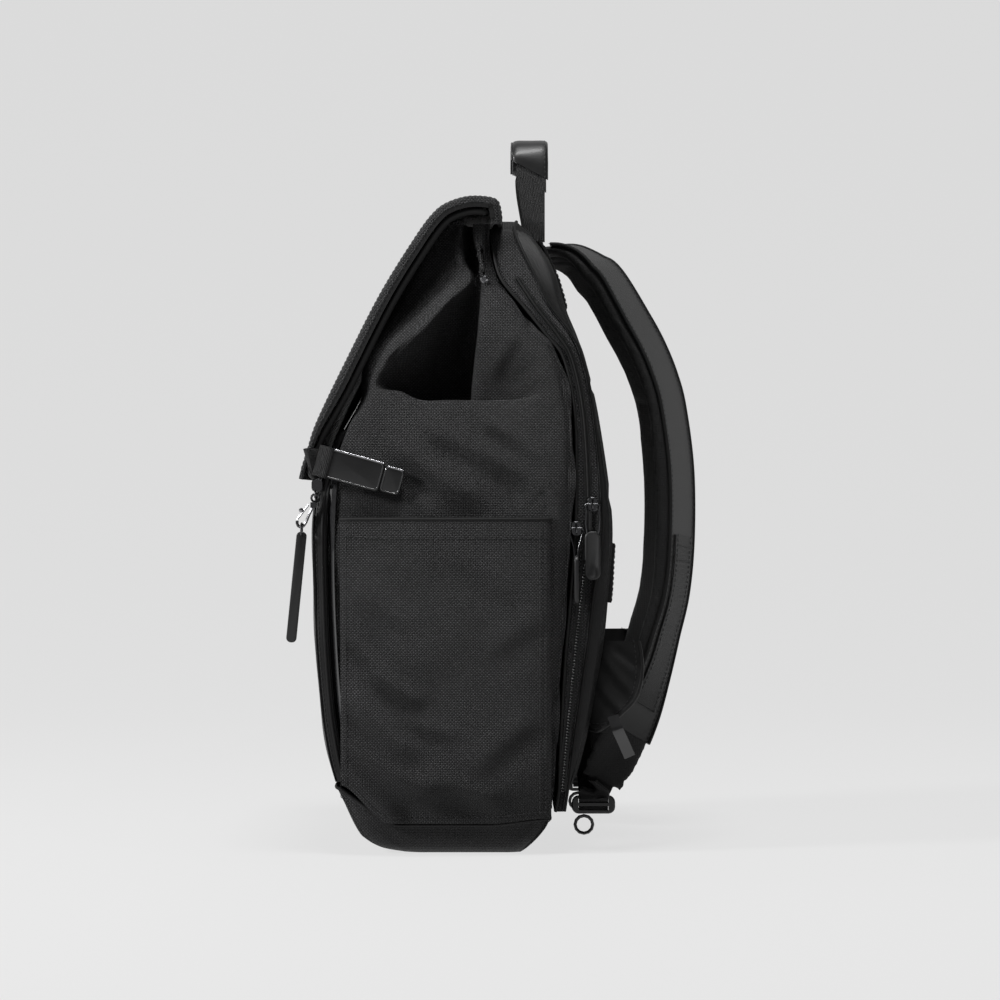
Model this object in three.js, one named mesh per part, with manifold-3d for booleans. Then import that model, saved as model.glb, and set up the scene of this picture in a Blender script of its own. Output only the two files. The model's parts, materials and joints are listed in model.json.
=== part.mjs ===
// Flap backpack, standing by itself. Millimetres, +Z up, origin at the centre of the base.
// The flap hangs over the front (-Y), the shoulder straps are on the back (+Y), X is the width.
import * as THREE from 'three';
import { mergeVertices } from 'three/addons/utils/BufferGeometryUtils.js';
import Module from 'manifold-3d';

const wasm = await Module();
wasm.setup();

// Main sizes. The tables below hold their lengths as shares of these three.
const bagHeight = 460; // floor to the top of the flap
const bagDepth = 210; // front pocket to back panel
const bagWidth = 290; // across the side pockets' seat

// Cloth and clearances
const clothWall = 2;
const bodyWall = 2.6; // outer cloth, stiffener and lining
const flapWall = 3;
const boardThick = 5; // the stiff bottom of the base
const seatGap = 0.3;
const seamLap = 1.5; // the body's edge over the boot where the front pocket hides it

// Front pocket and side pockets
const frontPocketDeep = 10; // how far it stands off the body at its corners
const frontPocketBulge = 5;
const sidePocketTop = 236;
const sidePocketDeep = 7;

// Back panel, sleeve and yoke
const panelInset = 4;
const panelWall = 4; // padding between mesh and lining
const sleeveLow = 177;
const sleeveHigh = 219;
const sleeveHalf = 112;
const sleeveWall = 3;
const yokeWall = 2;

// Flap
const flapHalfTop = 130;
const flapHalfTip = 139;
const flapCurl = 8; // how far the bound sides turn down
const pipingRadius = 2.6;

// Grab handle
const handleSpan = 104;
const handleTop = 514;
const webbingWide = 21;
const webbingWall = 2.4;
const gripWall = 2.2;

// Shoulder straps
const strapWide = 62;
const strapThick = 13;
const stripWall = 1.6;

// Side clasps
const claspLong = 47;
const claspTall = 21;
const claspWall = 3;
const claspTip = 14;
const claspStand = 4; // from the body's side to the plate
const claspLean = 15.5; // degrees, nose down

// Zip pulls
const sliderWide = 7;
const sliderLong = 10;
const sliderBase = 2.2;
const bridgeClear = 2.4;
const wireRadius = 0.7;
const pullWide = 11;
const pullLong = 34;
const pullThick = 3;

// Key hook
const hookWire = 1.2;
const hookLong = 22;
const fobWide = 7;
const fobLong = 78;
const fobWall = 2;

const cloth = [0x1d1d1f, 0.85, 0];
const smoothCloth = [0x161617, 0.7, 0];
const padding = [0x141415, 0.9, 0];
const leather = [0x232325, 0.5, 0];
const metal = [0x2b2b2d, 0.32, 1];
const rubber = [0x1a1a1b, 0.55, 0];

// Each row of a table becomes an object with the named columns.
function table(columns, rows) {
  return rows.map((row) => Object.fromEntries(columns.map((name, i) => [name, row[i]])));
}

// The value of a column at a height, on a smooth curve through the rows.
function at(rows, key, name, value) {
  const last = rows.length - 1;
  if (value <= rows[0][key]) return rows[0][name];
  if (value >= rows[last][key]) return rows[last][name];
  let i = 0;
  while (rows[i + 1][key] < value) i += 1;
  const span = rows[i + 1][key] - rows[i][key];
  const t = (value - rows[i][key]) / span;
  const slope = (k) => {
    const a = Math.max(k - 1, 0);
    const b = Math.min(k + 1, last);
    return (rows[b][name] - rows[a][name]) / (rows[b][key] - rows[a][key]);
  };
  const p = rows[i][name];
  const q = rows[i + 1][name];
  const h = 3 * t * t - 2 * t * t * t;
  const m0 = slope(i) * span * (t - 2 * t * t + t * t * t);
  const m1 = slope(i + 1) * span * (t * t * t - t * t);
  return p + (q - p) * h + m0 + m1;
}

// The same on straight lines, as a slab's own faces run.
function onFace(rows, name, up) {
  const i = Math.max(1, rows.findIndex((row) => row.up >= up));
  const t = (up - rows[i - 1].up) / (rows[i].up - rows[i - 1].up);
  return rows[i - 1][name] + (rows[i][name] - rows[i - 1][name]) * t;
}

function ease(t) {
  const c = Math.min(Math.max(t, 0), 1);
  return c * c * (3 - 2 * c);
}

// Faces are turned so that they look outwards.
function meshGeometry(points, faces) {
  const signed = faces.reduce((sum, [a, b, c]) => {
    const [p, q, r] = [points[a], points[b], points[c]];
    return sum
      + p[0] * (q[1] * r[2] - q[2] * r[1])
      + p[1] * (q[2] * r[0] - q[0] * r[2])
      + p[2] * (q[0] * r[1] - q[1] * r[0]);
  }, 0);
  if (signed < 0) faces.forEach((face) => face.reverse());
  const geometry = new THREE.BufferGeometry();
  geometry.setAttribute('position', new THREE.Float32BufferAttribute(points.flat(), 3));
  geometry.setIndex(faces.flat());
  return geometry;
}

function toSolid(source) {
  const geometry = source.clone();
  geometry.deleteAttribute('normal');
  geometry.deleteAttribute('uv');
  const merged = mergeVertices(geometry, 1e-4);
  return new wasm.Manifold(new wasm.Mesh({
    numProp: 3,
    vertProperties: merged.attributes.position.array,
    triVerts: Uint32Array.from(merged.index.array),
  }));
}

function toGeometry(solid) {
  const mesh = solid.getMesh();
  const geometry = new THREE.BufferGeometry();
  geometry.setAttribute('position', new THREE.BufferAttribute(mesh.vertProperties, 3));
  geometry.setIndex(new THREE.BufferAttribute(mesh.triVerts, 1));
  return geometry;
}

function unite(first, ...others) {
  return toGeometry(others.reduce((sum, next) => sum.add(toSolid(next)), toSolid(first)));
}

function cut(first, ...others) {
  return toGeometry(others.reduce((sum, next) => sum.subtract(toSolid(next)), toSolid(first)));
}

// A closed solid through rings of equal length, with a fan at each end.
function loft(rings) {
  const n = rings[0].length;
  const points = rings.flat();
  const faces = [];
  for (let i = 0; i + 1 < rings.length; i += 1) {
    for (let j = 0; j < n; j += 1) {
      const a = i * n + j;
      const b = i * n + ((j + 1) % n);
      faces.push([a, b, b + n], [a, b + n, a + n]);
    }
  }
  const ends = [
    [rings[0], 0, true],
    [rings.at(-1), (rings.length - 1) * n, false],
  ];
  for (const [ring, start, flip] of ends) {
    const middle = [0, 1, 2].map((k) => ring.reduce((sum, p) => sum + p[k], 0) / n);
    const centre = points.push(middle) - 1;
    for (let j = 0; j < n; j += 1) {
      const a = start + j;
      const b = start + ((j + 1) % n);
      faces.push(flip ? [centre, b, a] : [centre, a, b]);
    }
  }
  return meshGeometry(points, faces);
}

// A grid of points becomes a wall: the grid is the outer face, the copy lies inside it.
function wall(grid, thick, around) {
  const rows = grid.length;
  const n = grid[0].length;
  const step = (i, j) => {
    const row = grid[Math.min(Math.max(i, 0), rows - 1)];
    return row[around ? (j + n) % n : Math.min(Math.max(j, 0), n - 1)];
  };
  const inner = grid.map((row, i) => row.map((p, j) => {
    const along = new THREE.Vector3(...step(i, j + 1)).sub(new THREE.Vector3(...step(i, j - 1)));
    const up = new THREE.Vector3(...step(i + 1, j)).sub(new THREE.Vector3(...step(i - 1, j)));
    const normal = along.cross(up);
    if (around && (i === 0 || i === rows - 1)) normal.z = 0;
    normal.normalize();
    return [p[0] - normal.x * thick, p[1] - normal.y * thick, p[2] - normal.z * thick];
  }));
  const points = [...grid.flat(), ...inner.flat()];
  const far = rows * n;
  const faces = [];
  const reach = around ? n : n - 1;
  for (let i = 0; i + 1 < rows; i += 1) {
    for (let j = 0; j < reach; j += 1) {
      const a = i * n + j;
      const b = i * n + ((j + 1) % n);
      faces.push([a, b, b + n], [a, b + n, a + n]);
      faces.push([far + a, far + b + n, far + b], [far + a, far + a + n, far + b + n]);
    }
  }
  for (let j = 0; j < reach; j += 1) {
    const a = j;
    const b = (j + 1) % n;
    const c = (rows - 1) * n + j;
    const d = (rows - 1) * n + ((j + 1) % n);
    faces.push([a, far + a, far + b], [a, far + b, b]);
    faces.push([c, d, far + d], [c, far + d, far + c]);
  }
  if (!around) {
    for (let i = 0; i + 1 < rows; i += 1) {
      const a = i * n;
      const b = a + n - 1;
      faces.push([a, a + n, far + a + n], [a, far + a + n, far + a]);
      faces.push([b, far + b, far + b + n], [b, far + b + n, b + n]);
    }
  }
  return meshGeometry(points, faces);
}

function tube(points, radius, steps, sides = 8, closed = false) {
  const path = new THREE.CatmullRomCurve3(points.map((p) => new THREE.Vector3(...p)), closed);
  const round = new THREE.Shape(Array.from({ length: sides }, (_, i) => {
    const angle = (2 * Math.PI * i) / sides;
    return new THREE.Vector2(radius * Math.cos(angle), radius * Math.sin(angle));
  }));
  return new THREE.ExtrudeGeometry(round, { steps, extrudePath: path });
}

// A flat band through stations, with its width along a given direction at each of them.
function ribbon(stations, thick) {
  const points = stations.map((station) => new THREE.Vector3(...station.at));
  return loft(stations.map((station, i) => {
    const next = points[Math.min(i + 1, points.length - 1)];
    const along = next.clone().sub(points[Math.max(i - 1, 0)]).normalize();
    const side = new THREE.Vector3(...station.side);
    side.addScaledVector(along, -along.dot(side)).normalize();
    const up = along.clone().cross(side);
    return [[1, 1], [-1, 1], [-1, -1], [1, -1]].map(([u, v]) => points[i].clone()
      .addScaledVector(side, (u * station.wide) / 2)
      .addScaledVector(up, (v * thick) / 2)
      .toArray());
  }));
}

function box(low, high) {
  const size = high.map((value, i) => value - low[i]);
  return new THREE.BoxGeometry(...size).translate(...low.map((value, i) => value + size[i] / 2));
}

// A flat plate with round corners, lying in X and Y, thick along Z, centred.
function plate(long, wide, thick, radius, bevel = 0.5, corner = 2) {
  const shape = new THREE.Shape();
  const x = long / 2 - bevel;
  const y = wide / 2 - bevel;
  const r = Math.min(radius, x, y) * 0.999;
  shape.absarc(x - r, y - r, r, 0, Math.PI / 2);
  shape.absarc(r - x, y - r, r, Math.PI / 2, Math.PI);
  shape.absarc(r - x, r - y, r, Math.PI, 1.5 * Math.PI);
  shape.absarc(x - r, r - y, r, 1.5 * Math.PI, 2 * Math.PI);
  return new THREE.ExtrudeGeometry(shape, {
    depth: thick - 2 * bevel,
    bevelThickness: bevel,
    bevelSize: bevel,
    bevelSegments: 1,
    curveSegments: corner,
  }).translate(0, 0, bevel - thick / 2);
}

const bag = new THREE.Group();

function add(name, geometry, [color, roughness, metalness], parent = bag) {
  const material = new THREE.MeshStandardMaterial({ color, roughness, metalness });
  const mesh = new THREE.Mesh(geometry, material);
  mesh.name = name;
  parent.add(mesh);
  return mesh;
}

function mirrored(geometry) {
  const copy = geometry.clone();
  copy.scale(-1, 1, 1);
  const flat = copy.index ? copy.toNonIndexed() : copy;
  const p = flat.attributes.position;
  for (let i = 0; i < p.count; i += 3) {
    const first = [p.getX(i), p.getY(i), p.getZ(i)];
    p.setXYZ(i, p.getX(i + 2), p.getY(i + 2), p.getZ(i + 2));
    p.setXYZ(i + 2, ...first);
  }
  flat.deleteAttribute('normal');
  return flat;
}

function addPair(name, geometry, look) {
  add(`${name}_right`, geometry, look);
  add(`${name}_left`, mirrored(geometry), look);
}

// The body's outline by height: front and back of the body, half its width, and how far the
// front's middle stands out under the flap.
const bodyShares = table(['up', 'front', 'back', 'half', 'fill'], [
  [0.000, -0.190, 0.212, 0.386, 0.000],
  [0.008, -0.262, 0.232, 0.414, 0.000],
  [0.022, -0.314, 0.262, 0.434, 0.000],
  [0.045, -0.350, 0.300, 0.450, 0.000],
  [0.070, -0.374, 0.316, 0.460, 0.000],
  [0.108, -0.412, 0.324, 0.470, 0.000],
  [0.217, -0.457, 0.332, 0.481, 0.000],
  [0.391, -0.481, 0.362, 0.489, 0.000],
  [0.560, -0.476, 0.384, 0.491, 0.000],
  [0.652, -0.419, 0.380, 0.486, 0.000],
  [0.700, -0.381, 0.371, 0.482, 0.000],
  [0.730, -0.352, 0.358, 0.479, 0.040],
  [0.774, -0.286, 0.318, 0.474, 0.094],
  [0.804, -0.224, 0.254, 0.466, 0.122],
  [0.846, -0.138, 0.190, 0.452, 0.160],
  [0.880, -0.100, 0.138, 0.434, 0.156],
  [0.930, -0.100, 0.108, 0.412, 0.085],
  [0.968, -0.078, 0.104, 0.408, 0.045],
]);
const body = bodyShares.map((row) => ({
  up: row.up * bagHeight,
  front: row.front * bagDepth,
  back: row.back * bagDepth,
  half: row.half * bagWidth,
  fill: row.fill * bagDepth,
}));
const cornerFront = 13;
const cornerBack = 9;

// The side tucks in above the shelf: a ridge in front, a valley, and the rear leaf's edge.
// ridge, valley and edge are places along the depth; sink is how far in the valley lies.
const tuckShares = table(['up', 'ridge', 'valley', 'edge', 'sink', 'lip'], [
  [0.000, -0.080, 0.030, 0.052, 0.000, 0.000],
  [0.022, -0.160, 0.030, 0.052, 0.000, 0.000],
  [0.080, -0.230, 0.030, 0.052, 0.000, 0.000],
  [0.217, -0.276, 0.030, 0.052, 0.000, 0.000],
  [0.700, -0.276, 0.030, 0.052, 0.145, 0.010],
  [0.730, -0.276, 0.032, 0.054, 0.160, 0.010],
  [0.774, -0.186, 0.044, 0.062, 0.152, 0.012],
  [0.804, -0.122, 0.054, 0.070, 0.130, 0.014],
  [0.846, -0.034, 0.064, 0.080, 0.092, 0.016],
  [0.880, 0.036, 0.060, 0.084, 0.040, 0.014],
  [0.904, 0.020, 0.052, 0.080, 0.070, 0.010],
  [0.940, 0.012, 0.048, 0.078, 0.086, 0.008],
  [0.968, 0.008, 0.046, 0.074, 0.088, 0.008],
]);
const tuck = tuckShares.map((row) => ({
  up: row.up * bagHeight,
  ridge: row.ridge * bagDepth,
  valley: row.valley * bagDepth,
  edge: row.edge * bagDepth,
  sink: row.sink * bagWidth,
  lip: row.lip * bagWidth,
}));

// How far the side stands out past the outline's half width, over the depth.
function sideBulge(y, front, back, swell) {
  const u = (2 * (y - (front + back) / 2)) / (back - front);
  return swell * Math.max(0, 1 - u * u);
}

function seamHeight(y) {
  const front = -0.40 * bagDepth;
  const fall = 0.060 * (1 - ease((y - front) / (0.17 * bagDepth)));
  const climb = 0.008 * ease((y - 0.1 * bagDepth) / (0.2 * bagDepth));
  return bagHeight * (0.046 + fall + climb);
}

// Half of a ring round the body, from the middle of the front to the middle of the back.
// weight says how much a point belongs to the side, where the shelf rolls over.
function bodyHalf(z, options = {}) {
  const { inset = 0, deep = 0, swell = 2, sit = frontPocketDeep } = options;
  const front = at(body, 'up', 'front', z) + sit;
  const back = at(body, 'up', 'back', z);
  const half = at(body, 'up', 'half', z);
  const fill = Math.max(0, at(body, 'up', 'fill', z));
  const ridge = at(tuck, 'up', 'ridge', z);
  const valley = at(tuck, 'up', 'valley', z);
  const edge = at(tuck, 'up', 'edge', z);
  const sink = at(tuck, 'up', 'sink', z) * deep;
  const lip = at(tuck, 'up', 'lip', z) * deep;
  const points = [];
  const put = (x, y, weight) => points.push({ x: x - inset * weight, y, weight });
  const sideX = (y) => half + sideBulge(y, front, back, swell);
  for (let i = 0; i < 2; i += 1) {
    put(((half - cornerFront) * i) / 2, front - fill * (1 - 0.2 * i), 0);
  }
  for (let i = 0; i <= 2; i += 1) {
    const a = (Math.PI / 4) * i;
    put(half - cornerFront + cornerFront * Math.sin(a), front + cornerFront * (1 - Math.cos(a)), 0.15 * i);
  }
  const start = front + cornerFront;
  put(sideX((start + ridge) / 2), (start + ridge) / 2, 0.6);
  put(sideX(ridge) - lip * 0.3, ridge, 0.9);
  for (let i = 1; i <= 4; i += 1) {
    const t = i / 4;
    const y = ridge + (valley - ridge) * t;
    put(sideX(y) - lip * 0.3 - (sink - lip * 0.3) * ease(t) ** 0.8, y, 1);
  }
  put(sideX(edge) - lip - (sink - lip) * 0.35, valley + (edge - valley) * 0.5, 1);
  put(sideX(edge) - lip * 0.8, edge, 1);
  const end = back - cornerBack;
  for (let i = 1; i <= 4; i += 1) {
    const y = edge + ((end - edge) * i) / 5;
    put(sideX(y), y, 1 - ease((i - 2.4) / 2.2));
  }
  for (let i = 0; i <= 2; i += 1) {
    const a = (Math.PI / 2) * (i / 2);
    put(half - cornerBack + cornerBack * Math.cos(a), back - cornerBack + cornerBack * Math.sin(a), 0);
  }
  for (let i = 1; i >= 0; i -= 1) put(((half - cornerBack) * i) / 2, back, 0);
  return points;
}

function bodyRing(z, options = {}) {
  const right = bodyHalf(z, options);
  const left = right.slice(1, -1).reverse().map((p) => ({ ...p, x: -p.x }));
  const height = options.height ?? (() => z);
  return [...right, ...left].map((p) => [p.x, p.y, height(p)]);
}

// The side wall's place at a depth and height, below the shelf.
function bodySide(y, z) {
  const front = at(body, 'up', 'front', z);
  const back = at(body, 'up', 'back', z);
  return at(body, 'up', 'half', z) + sideBulge(y, front, back, 2);
}

// Base: a boot whose rim is the seam. Body: the sleeve of cloth that stands on it.
function rimRing(lift, sit) {
  const z = 0.075 * bagHeight;
  return bodyRing(z, { sit }).map(([x, y]) => {
    const seam = seamHeight(y);
    const wide = at(body, 'up', 'half', seam) / at(body, 'up', 'half', z);
    const end = y < 0 ? 'front' : 'back';
    const deep = at(body, 'up', end, seam) / at(body, 'up', end, z);
    const lap = sit > 0 ? seamLap * (1 - ease((y + 0.24 * bagDepth) / (0.1 * bagDepth))) : 0;
    return [x * wide, y * deep, seam + lift + lap];
  });
}
const baseLevels = [0.008, 0.022, 0.040].map((share) => share * bagHeight);
const baseRings = [bodyRing(0, { swell: 0, sit: 0 })];
for (const z of baseLevels) {
  baseRings.push(bodyRing(z, { swell: 1, sit: 0 }));
}
baseRings.push(rimRing(-seatGap, 0));
const bootHollow = baseRings.map((ring, i) => ring.map(([x, y, z]) => {
  const narrow = 1 - (2 * bodyWall) / (0.9 * bagWidth);
  const shallow = 1 - (2.6 * bodyWall) / bagDepth;
  const lift = i === baseRings.length - 1 ? 0 : boardThick / (i + 1);
  return [x * narrow, y * shallow, z + lift];
}));
add('base', loft([...baseRings, ...bootHollow.toReversed()]), cloth);

const bodyRows = [rimRing(0, frontPocketDeep)];
for (const share of [0.125, 0.217, 0.34, 0.47, 0.572, 0.640]) {
  bodyRows.push(bodyRing(share * bagHeight));
}
// The shelf: the side rolls over, drops into the trough and climbs again inside.
const shelf = table(['up', 'inset', 'drop', 'deep'], [
  [0.668, 0.0, 0.000, 0.00],
  [0.690, 0.8, 0.001, 0.00],
  [0.704, 3.6, 0.004, 0.00],
  [0.711, 8.0, 0.014, 0.10],
  [0.718, 10.5, 0.032, 0.35],
  [0.727, 11.0, 0.036, 0.80],
  [0.742, 9.0, 0.024, 1.00],
  [0.774, 4.0, 0.004, 1.00],
]);
for (const row of shelf) {
  const z = row.up * bagHeight;
  bodyRows.push(bodyRing(z, {
    inset: row.inset,
    deep: row.deep,
    height: (p) => z - row.drop * bagHeight * p.weight,
  }));
}
for (const share of [0.804, 0.846, 0.880, 0.910, 0.968]) {
  bodyRows.push(bodyRing(share * bagHeight, { deep: 1, swell: 1 }));
}
add('body', wall(bodyRows, bodyWall, true), cloth);

// A slab of rounded sections, one row to a height: front and back places, half width.
function slab(rows, { radiusFront, radiusBack, bulge = 0, across = 2 }) {
  return loft(rows.map(({ up, front, back, half }) => {
    const rf = Math.min(radiusFront, (back - front) * 0.48);
    const rb = Math.min(radiusBack, (back - front) * 0.48);
    const right = [];
    for (let i = 0; i < across; i += 1) {
      right.push([((half - rf) * i) / across, front - bulge * (1 - (i / across) ** 2)]);
    }
    for (let i = 0; i <= 2; i += 1) {
      const a = (Math.PI / 4) * i;
      right.push([half - rf + rf * Math.sin(a), front + rf * (1 - Math.cos(a))]);
    }
    for (let i = 0; i <= 2; i += 1) {
      const a = (Math.PI / 4) * i;
      right.push([half - rb + rb * Math.cos(a), back - rb + rb * Math.sin(a)]);
    }
    for (let i = 1; i >= 0; i -= 1) right.push([((half - rb) * i) / 2, back]);
    const left = right.slice(1, -1).reverse().map(([x, y]) => [-x, y]);
    return [...right, ...left].map(([x, y]) => [x, y, up]);
  }));
}

// Front pocket: a tray open towards the body.
const pocketShares = table(['up', 'stand', 'half'], [
  [0.112, 0.95, 0.452],
  [0.150, 1.00, 0.462],
  [0.217, 1.00, 0.469],
  [0.310, 1.00, 0.475],
  [0.391, 1.02, 0.478],
  [0.480, 1.05, 0.479],
  [0.540, 1.00, 0.466],
  [0.572, 0.74, 0.445],
  [0.640, 0.64, 0.436],
  [0.652, 0.45, 0.425],
]);
const pocketRows = pocketShares.map((row) => {
  const z = row.up * bagHeight;
  const back = at(body, 'up', 'front', z) + frontPocketDeep - seatGap;
  return { up: z, front: back - frontPocketDeep * row.stand, back, half: row.half * bagWidth };
});
const pocketHollow = pocketRows.slice(0, -1).map((row, i, all) => {
  const lift = i === 0 ? bodyWall : 0;
  const drop = i === all.length - 1 ? bodyWall : 0;
  return {
    up: row.up + lift - drop,
    front: row.front + bodyWall,
    back: row.back + 4,
    half: row.half - bodyWall - 1,
  };
});
const trayForm = { radiusFront: 8, radiusBack: 1.5, bulge: frontPocketBulge, across: 3 };
const frontPocket = cut(slab(pocketRows, trayForm), slab(pocketHollow, trayForm));
add('front_pocket', frontPocket, smoothCloth);

// Side pockets: a leaf of cloth round the side, open at the top.
const pocketFront = -0.392 * bagDepth;
const pocketBack = 0.312 * bagDepth;
const pocketLevels = [0.00, 0.06, 0.20, 0.42, 0.64, 0.84, 1.00];
const pocketSteps = 9;
const pocketGrid = pocketLevels.map((share) => {
  const row = [];
  for (let j = 0; j <= pocketSteps; j += 1) {
    const t = j / pocketSteps;
    const y = pocketFront + (pocketBack - pocketFront) * t;
    const low = seamHeight(y) + 1.2;
    const z = low + (sidePocketTop - low) * share;
    const rim = Math.sin(Math.PI * t) ** 0.45;
    const rise = 0.16 + 0.84 * ease(share * 5);
    const crease = 1 + 0.10 * Math.sin(9 * t + 5 * share) * (1 - share);
    const stand = seatGap + clothWall + sidePocketDeep * rim * rise * crease;
    row.push([bodySide(y, z) + stand, y, z]);
  }
  return row;
});
const sidePocket = wall(pocketGrid, clothWall, false);
addPair('side_pocket', sidePocket, cloth);

// Back compartment: a band round the hollow behind the body, and the padded panel that closes it.
const backShares = table(['up', 'inner', 'seam', 'outer', 'half'], [
  [0.066, 0.318, 0.338, 0.352, 0.444],
  [0.098, 0.330, 0.348, 0.382, 0.452],
  [0.174, 0.336, 0.370, 0.428, 0.460],
  [0.304, 0.352, 0.410, 0.481, 0.466],
  [0.391, 0.369, 0.432, 0.502, 0.469],
  [0.510, 0.386, 0.466, 0.518, 0.469],
  [0.665, 0.385, 0.440, 0.474, 0.466],
  [0.757, 0.348, 0.400, 0.424, 0.460],
  [0.796, 0.288, 0.363, 0.398, 0.456],
  [0.841, 0.210, 0.290, 0.358, 0.446],
  [0.885, 0.150, 0.242, 0.330, 0.430],
  [0.935, 0.135, 0.190, 0.282, 0.396],
  [0.962, 0.142, 0.172, 0.240, 0.350],
  [0.978, 0.165, 0.178, 0.208, 0.290],
]);
const backRows = backShares.map((row) => ({
  up: row.up * bagHeight,
  inner: Math.max(row.inner * bagDepth, at(body, 'up', 'back', row.up * bagHeight)) + seatGap,
  seam: row.seam * bagDepth,
  outer: row.outer * bagDepth,
  half: row.half * bagWidth,
}));
const trayRows = backRows.map((row) => ({
  up: row.up,
  front: row.inner + 0.6,
  back: row.seam + 3,
  half: row.half,
}));

// The hollow of a slab open to the front: walls at its sides, its ends and, if given, its back.
function hollowRows(rows, side, back) {
  const between = (from, to) => {
    const t = Math.min(0.9, side / Math.abs(to.up - from.up));
    const names = Object.keys(from);
    return Object.fromEntries(names.map((name) => [name, from[name] + (to[name] - from[name]) * t]));
  };
  const inside = [between(rows[0], rows[1]), ...rows.slice(1, -1), between(rows.at(-1), rows.at(-2))];
  return inside.map((row) => ({
    up: row.up,
    front: row.front - 6,
    back: row.back - back,
    half: row.half - side,
  }));
}
const compartment = cut(
  slab(trayRows, { radiusFront: 3, radiusBack: 3 }),
  slab(hollowRows(trayRows, clothWall + 1, -6), { radiusFront: 1, radiusBack: 1 }),
);
add('back_compartment', compartment, cloth);

const panelRows = backRows.map((row) => ({
  up: row.up,
  front: row.seam + 3 + seatGap,
  back: Math.max(row.outer, row.seam + 6),
  half: row.half - panelInset,
}));
const panelForm = { radiusFront: 1, radiusBack: 6 };
const backPanel = cut(
  slab(panelRows, panelForm),
  slab(hollowRows(panelRows, panelWall + 2, panelWall), { radiusFront: 1, radiusBack: 3 }),
);
add('back_panel', backPanel, padding);

// A skin on the back panel between two heights.
function backSkin(low, high, half, thick) {
  const between = panelRows.map((row) => row.up).filter((up) => up > low + 2 && up < high - 2);
  const grid = [];
  for (const z of [low, ...between, high]) {
    const here = onFace(panelRows, 'back', z);
    const slopes = [-3, 3].map((step) => (onFace(panelRows, 'back', z + step) - here) / step);
    const y = here + (seatGap + thick) * Math.max(...slopes.map((slope) => Math.hypot(1, slope)));
    const row = [];
    for (let j = 0; j <= 8; j += 1) row.push([half - (half * j) / 4, y, z]);
    grid.push(row);
  }
  return wall(grid, thick, false);
}
add('luggage_sleeve', backSkin(sleeveLow, sleeveHigh, sleeveHalf, sleeveWall), smoothCloth);
add('yoke', backSkin(0.842 * bagHeight, 0.948 * bagHeight, 0.34 * bagWidth, yokeWall), smoothCloth);

// Flap: the line of its outer face, from its root at the back over the top to its tip.
const flapShares = table(['depth', 'up'], [
  [0.146, 0.966],
  [0.134, 0.990],
  [0.106, 1.003],
  [0.034, 1.004],
  [-0.037, 0.995],
  [-0.088, 0.978],
  [-0.150, 0.940],
  [-0.262, 0.860],
  [-0.380, 0.754],
  [-0.474, 0.664],
  [-0.506, 0.620],
  [-0.528, 0.588],
  [-0.534, 0.576],
]);
const flapCurve = new THREE.CatmullRomCurve3(flapShares.map((row) => (
  new THREE.Vector3(0, row.depth * bagDepth, row.up * bagHeight)
)));
const flapSteps = 14;
const flapEdge = table(['across', 'curl'], [
  [1, 1],
  [1, 0.45],
  [0.985, 0.12],
  [0.95, 0],
  [0.5, 0],
  [0, 0],
]);
const flapFar = flapEdge.slice(0, -1).toReversed().map((row) => ({ ...row, across: -row.across }));
const flapAcross = [...flapEdge, ...flapFar];
function flapPoint(t, u, sink) {
  const p = flapCurve.getPointAt(t);
  const tangent = flapCurve.getTangentAt(t);
  const inward = new THREE.Vector3(0, -tangent.z, tangent.y);
  const half = flapHalfTop + (flapHalfTip - flapHalfTop) * t;
  const q = p.clone().addScaledVector(inward, sink);
  return [half * u, q.y, q.z];
}
const curlAt = (t) => flapCurl * (1 - 0.6 * ease((t - 0.72) / 0.26));
const flapGrid = [];
for (let i = 0; i <= flapSteps; i += 1) {
  const t = i / flapSteps;
  flapGrid.push(flapAcross.map((edge) => flapPoint(t, edge.across, edge.curl * curlAt(t))));
}
add('flap', wall(flapGrid, flapWall, false), cloth);

// Piping: the bound edge under the flap's sides and tip.
const pipingDrop = (t) => curlAt(t) + pipingRadius + seatGap + 0.3;
const pipingSide = Array.from({ length: 8 }, (_, i) => 0.03 + (0.94 * i) / 7);
const pipingInset = 1 - (pipingRadius + 0.5) / flapHalfTop;
const pipingPoints = [
  ...pipingSide.map((t) => flapPoint(t, pipingInset, pipingDrop(t))),
  ...[0.5, 0, -0.5].map((u) => flapPoint(0.985, u, pipingDrop(1))),
  ...pipingSide.toReversed().map((t) => flapPoint(t, -pipingInset, pipingDrop(t))),
];
add('flap_piping', tube(pipingPoints, pipingRadius, 32, 6), cloth);

// Grab handle: webbing bent over in X and Z, with a sleeve round its middle.
const handleFront = 0.195 * bagDepth;
const handleBack = handleFront + webbingWide;
function arch(half, top, low, wallThick, deep, round) {
  const shape = new THREE.Shape();
  const inner = half - wallThick;
  shape.moveTo(-half, low);
  shape.lineTo(-inner, low);
  shape.lineTo(-inner, top - wallThick - round);
  shape.quadraticCurveTo(-inner, top - wallThick, round * 1.2 - inner, top - wallThick);
  shape.lineTo(inner - round * 1.2, top - wallThick);
  shape.quadraticCurveTo(inner, top - wallThick, inner, top - wallThick - round);
  shape.lineTo(inner, low);
  shape.lineTo(half, low);
  shape.lineTo(half, top - round);
  shape.quadraticCurveTo(half, top, half - round * 1.2, top);
  shape.lineTo(round * 1.2 - half, top);
  shape.quadraticCurveTo(-half, top, -half, top - round);
  shape.closePath();
  const solid = new THREE.ExtrudeGeometry(shape, { depth: deep, bevelEnabled: false, curveSegments: 5 });
  return solid.rotateX(Math.PI / 2).translate(0, deep, 0);
}
const handleLow = 0.90 * bagHeight;
const handleTrim = slab(panelRows.map((row) => ({
  ...row,
  front: row.front - 40,
  back: row.back + yokeWall + 3 * seatGap,
})), panelForm);
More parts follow.
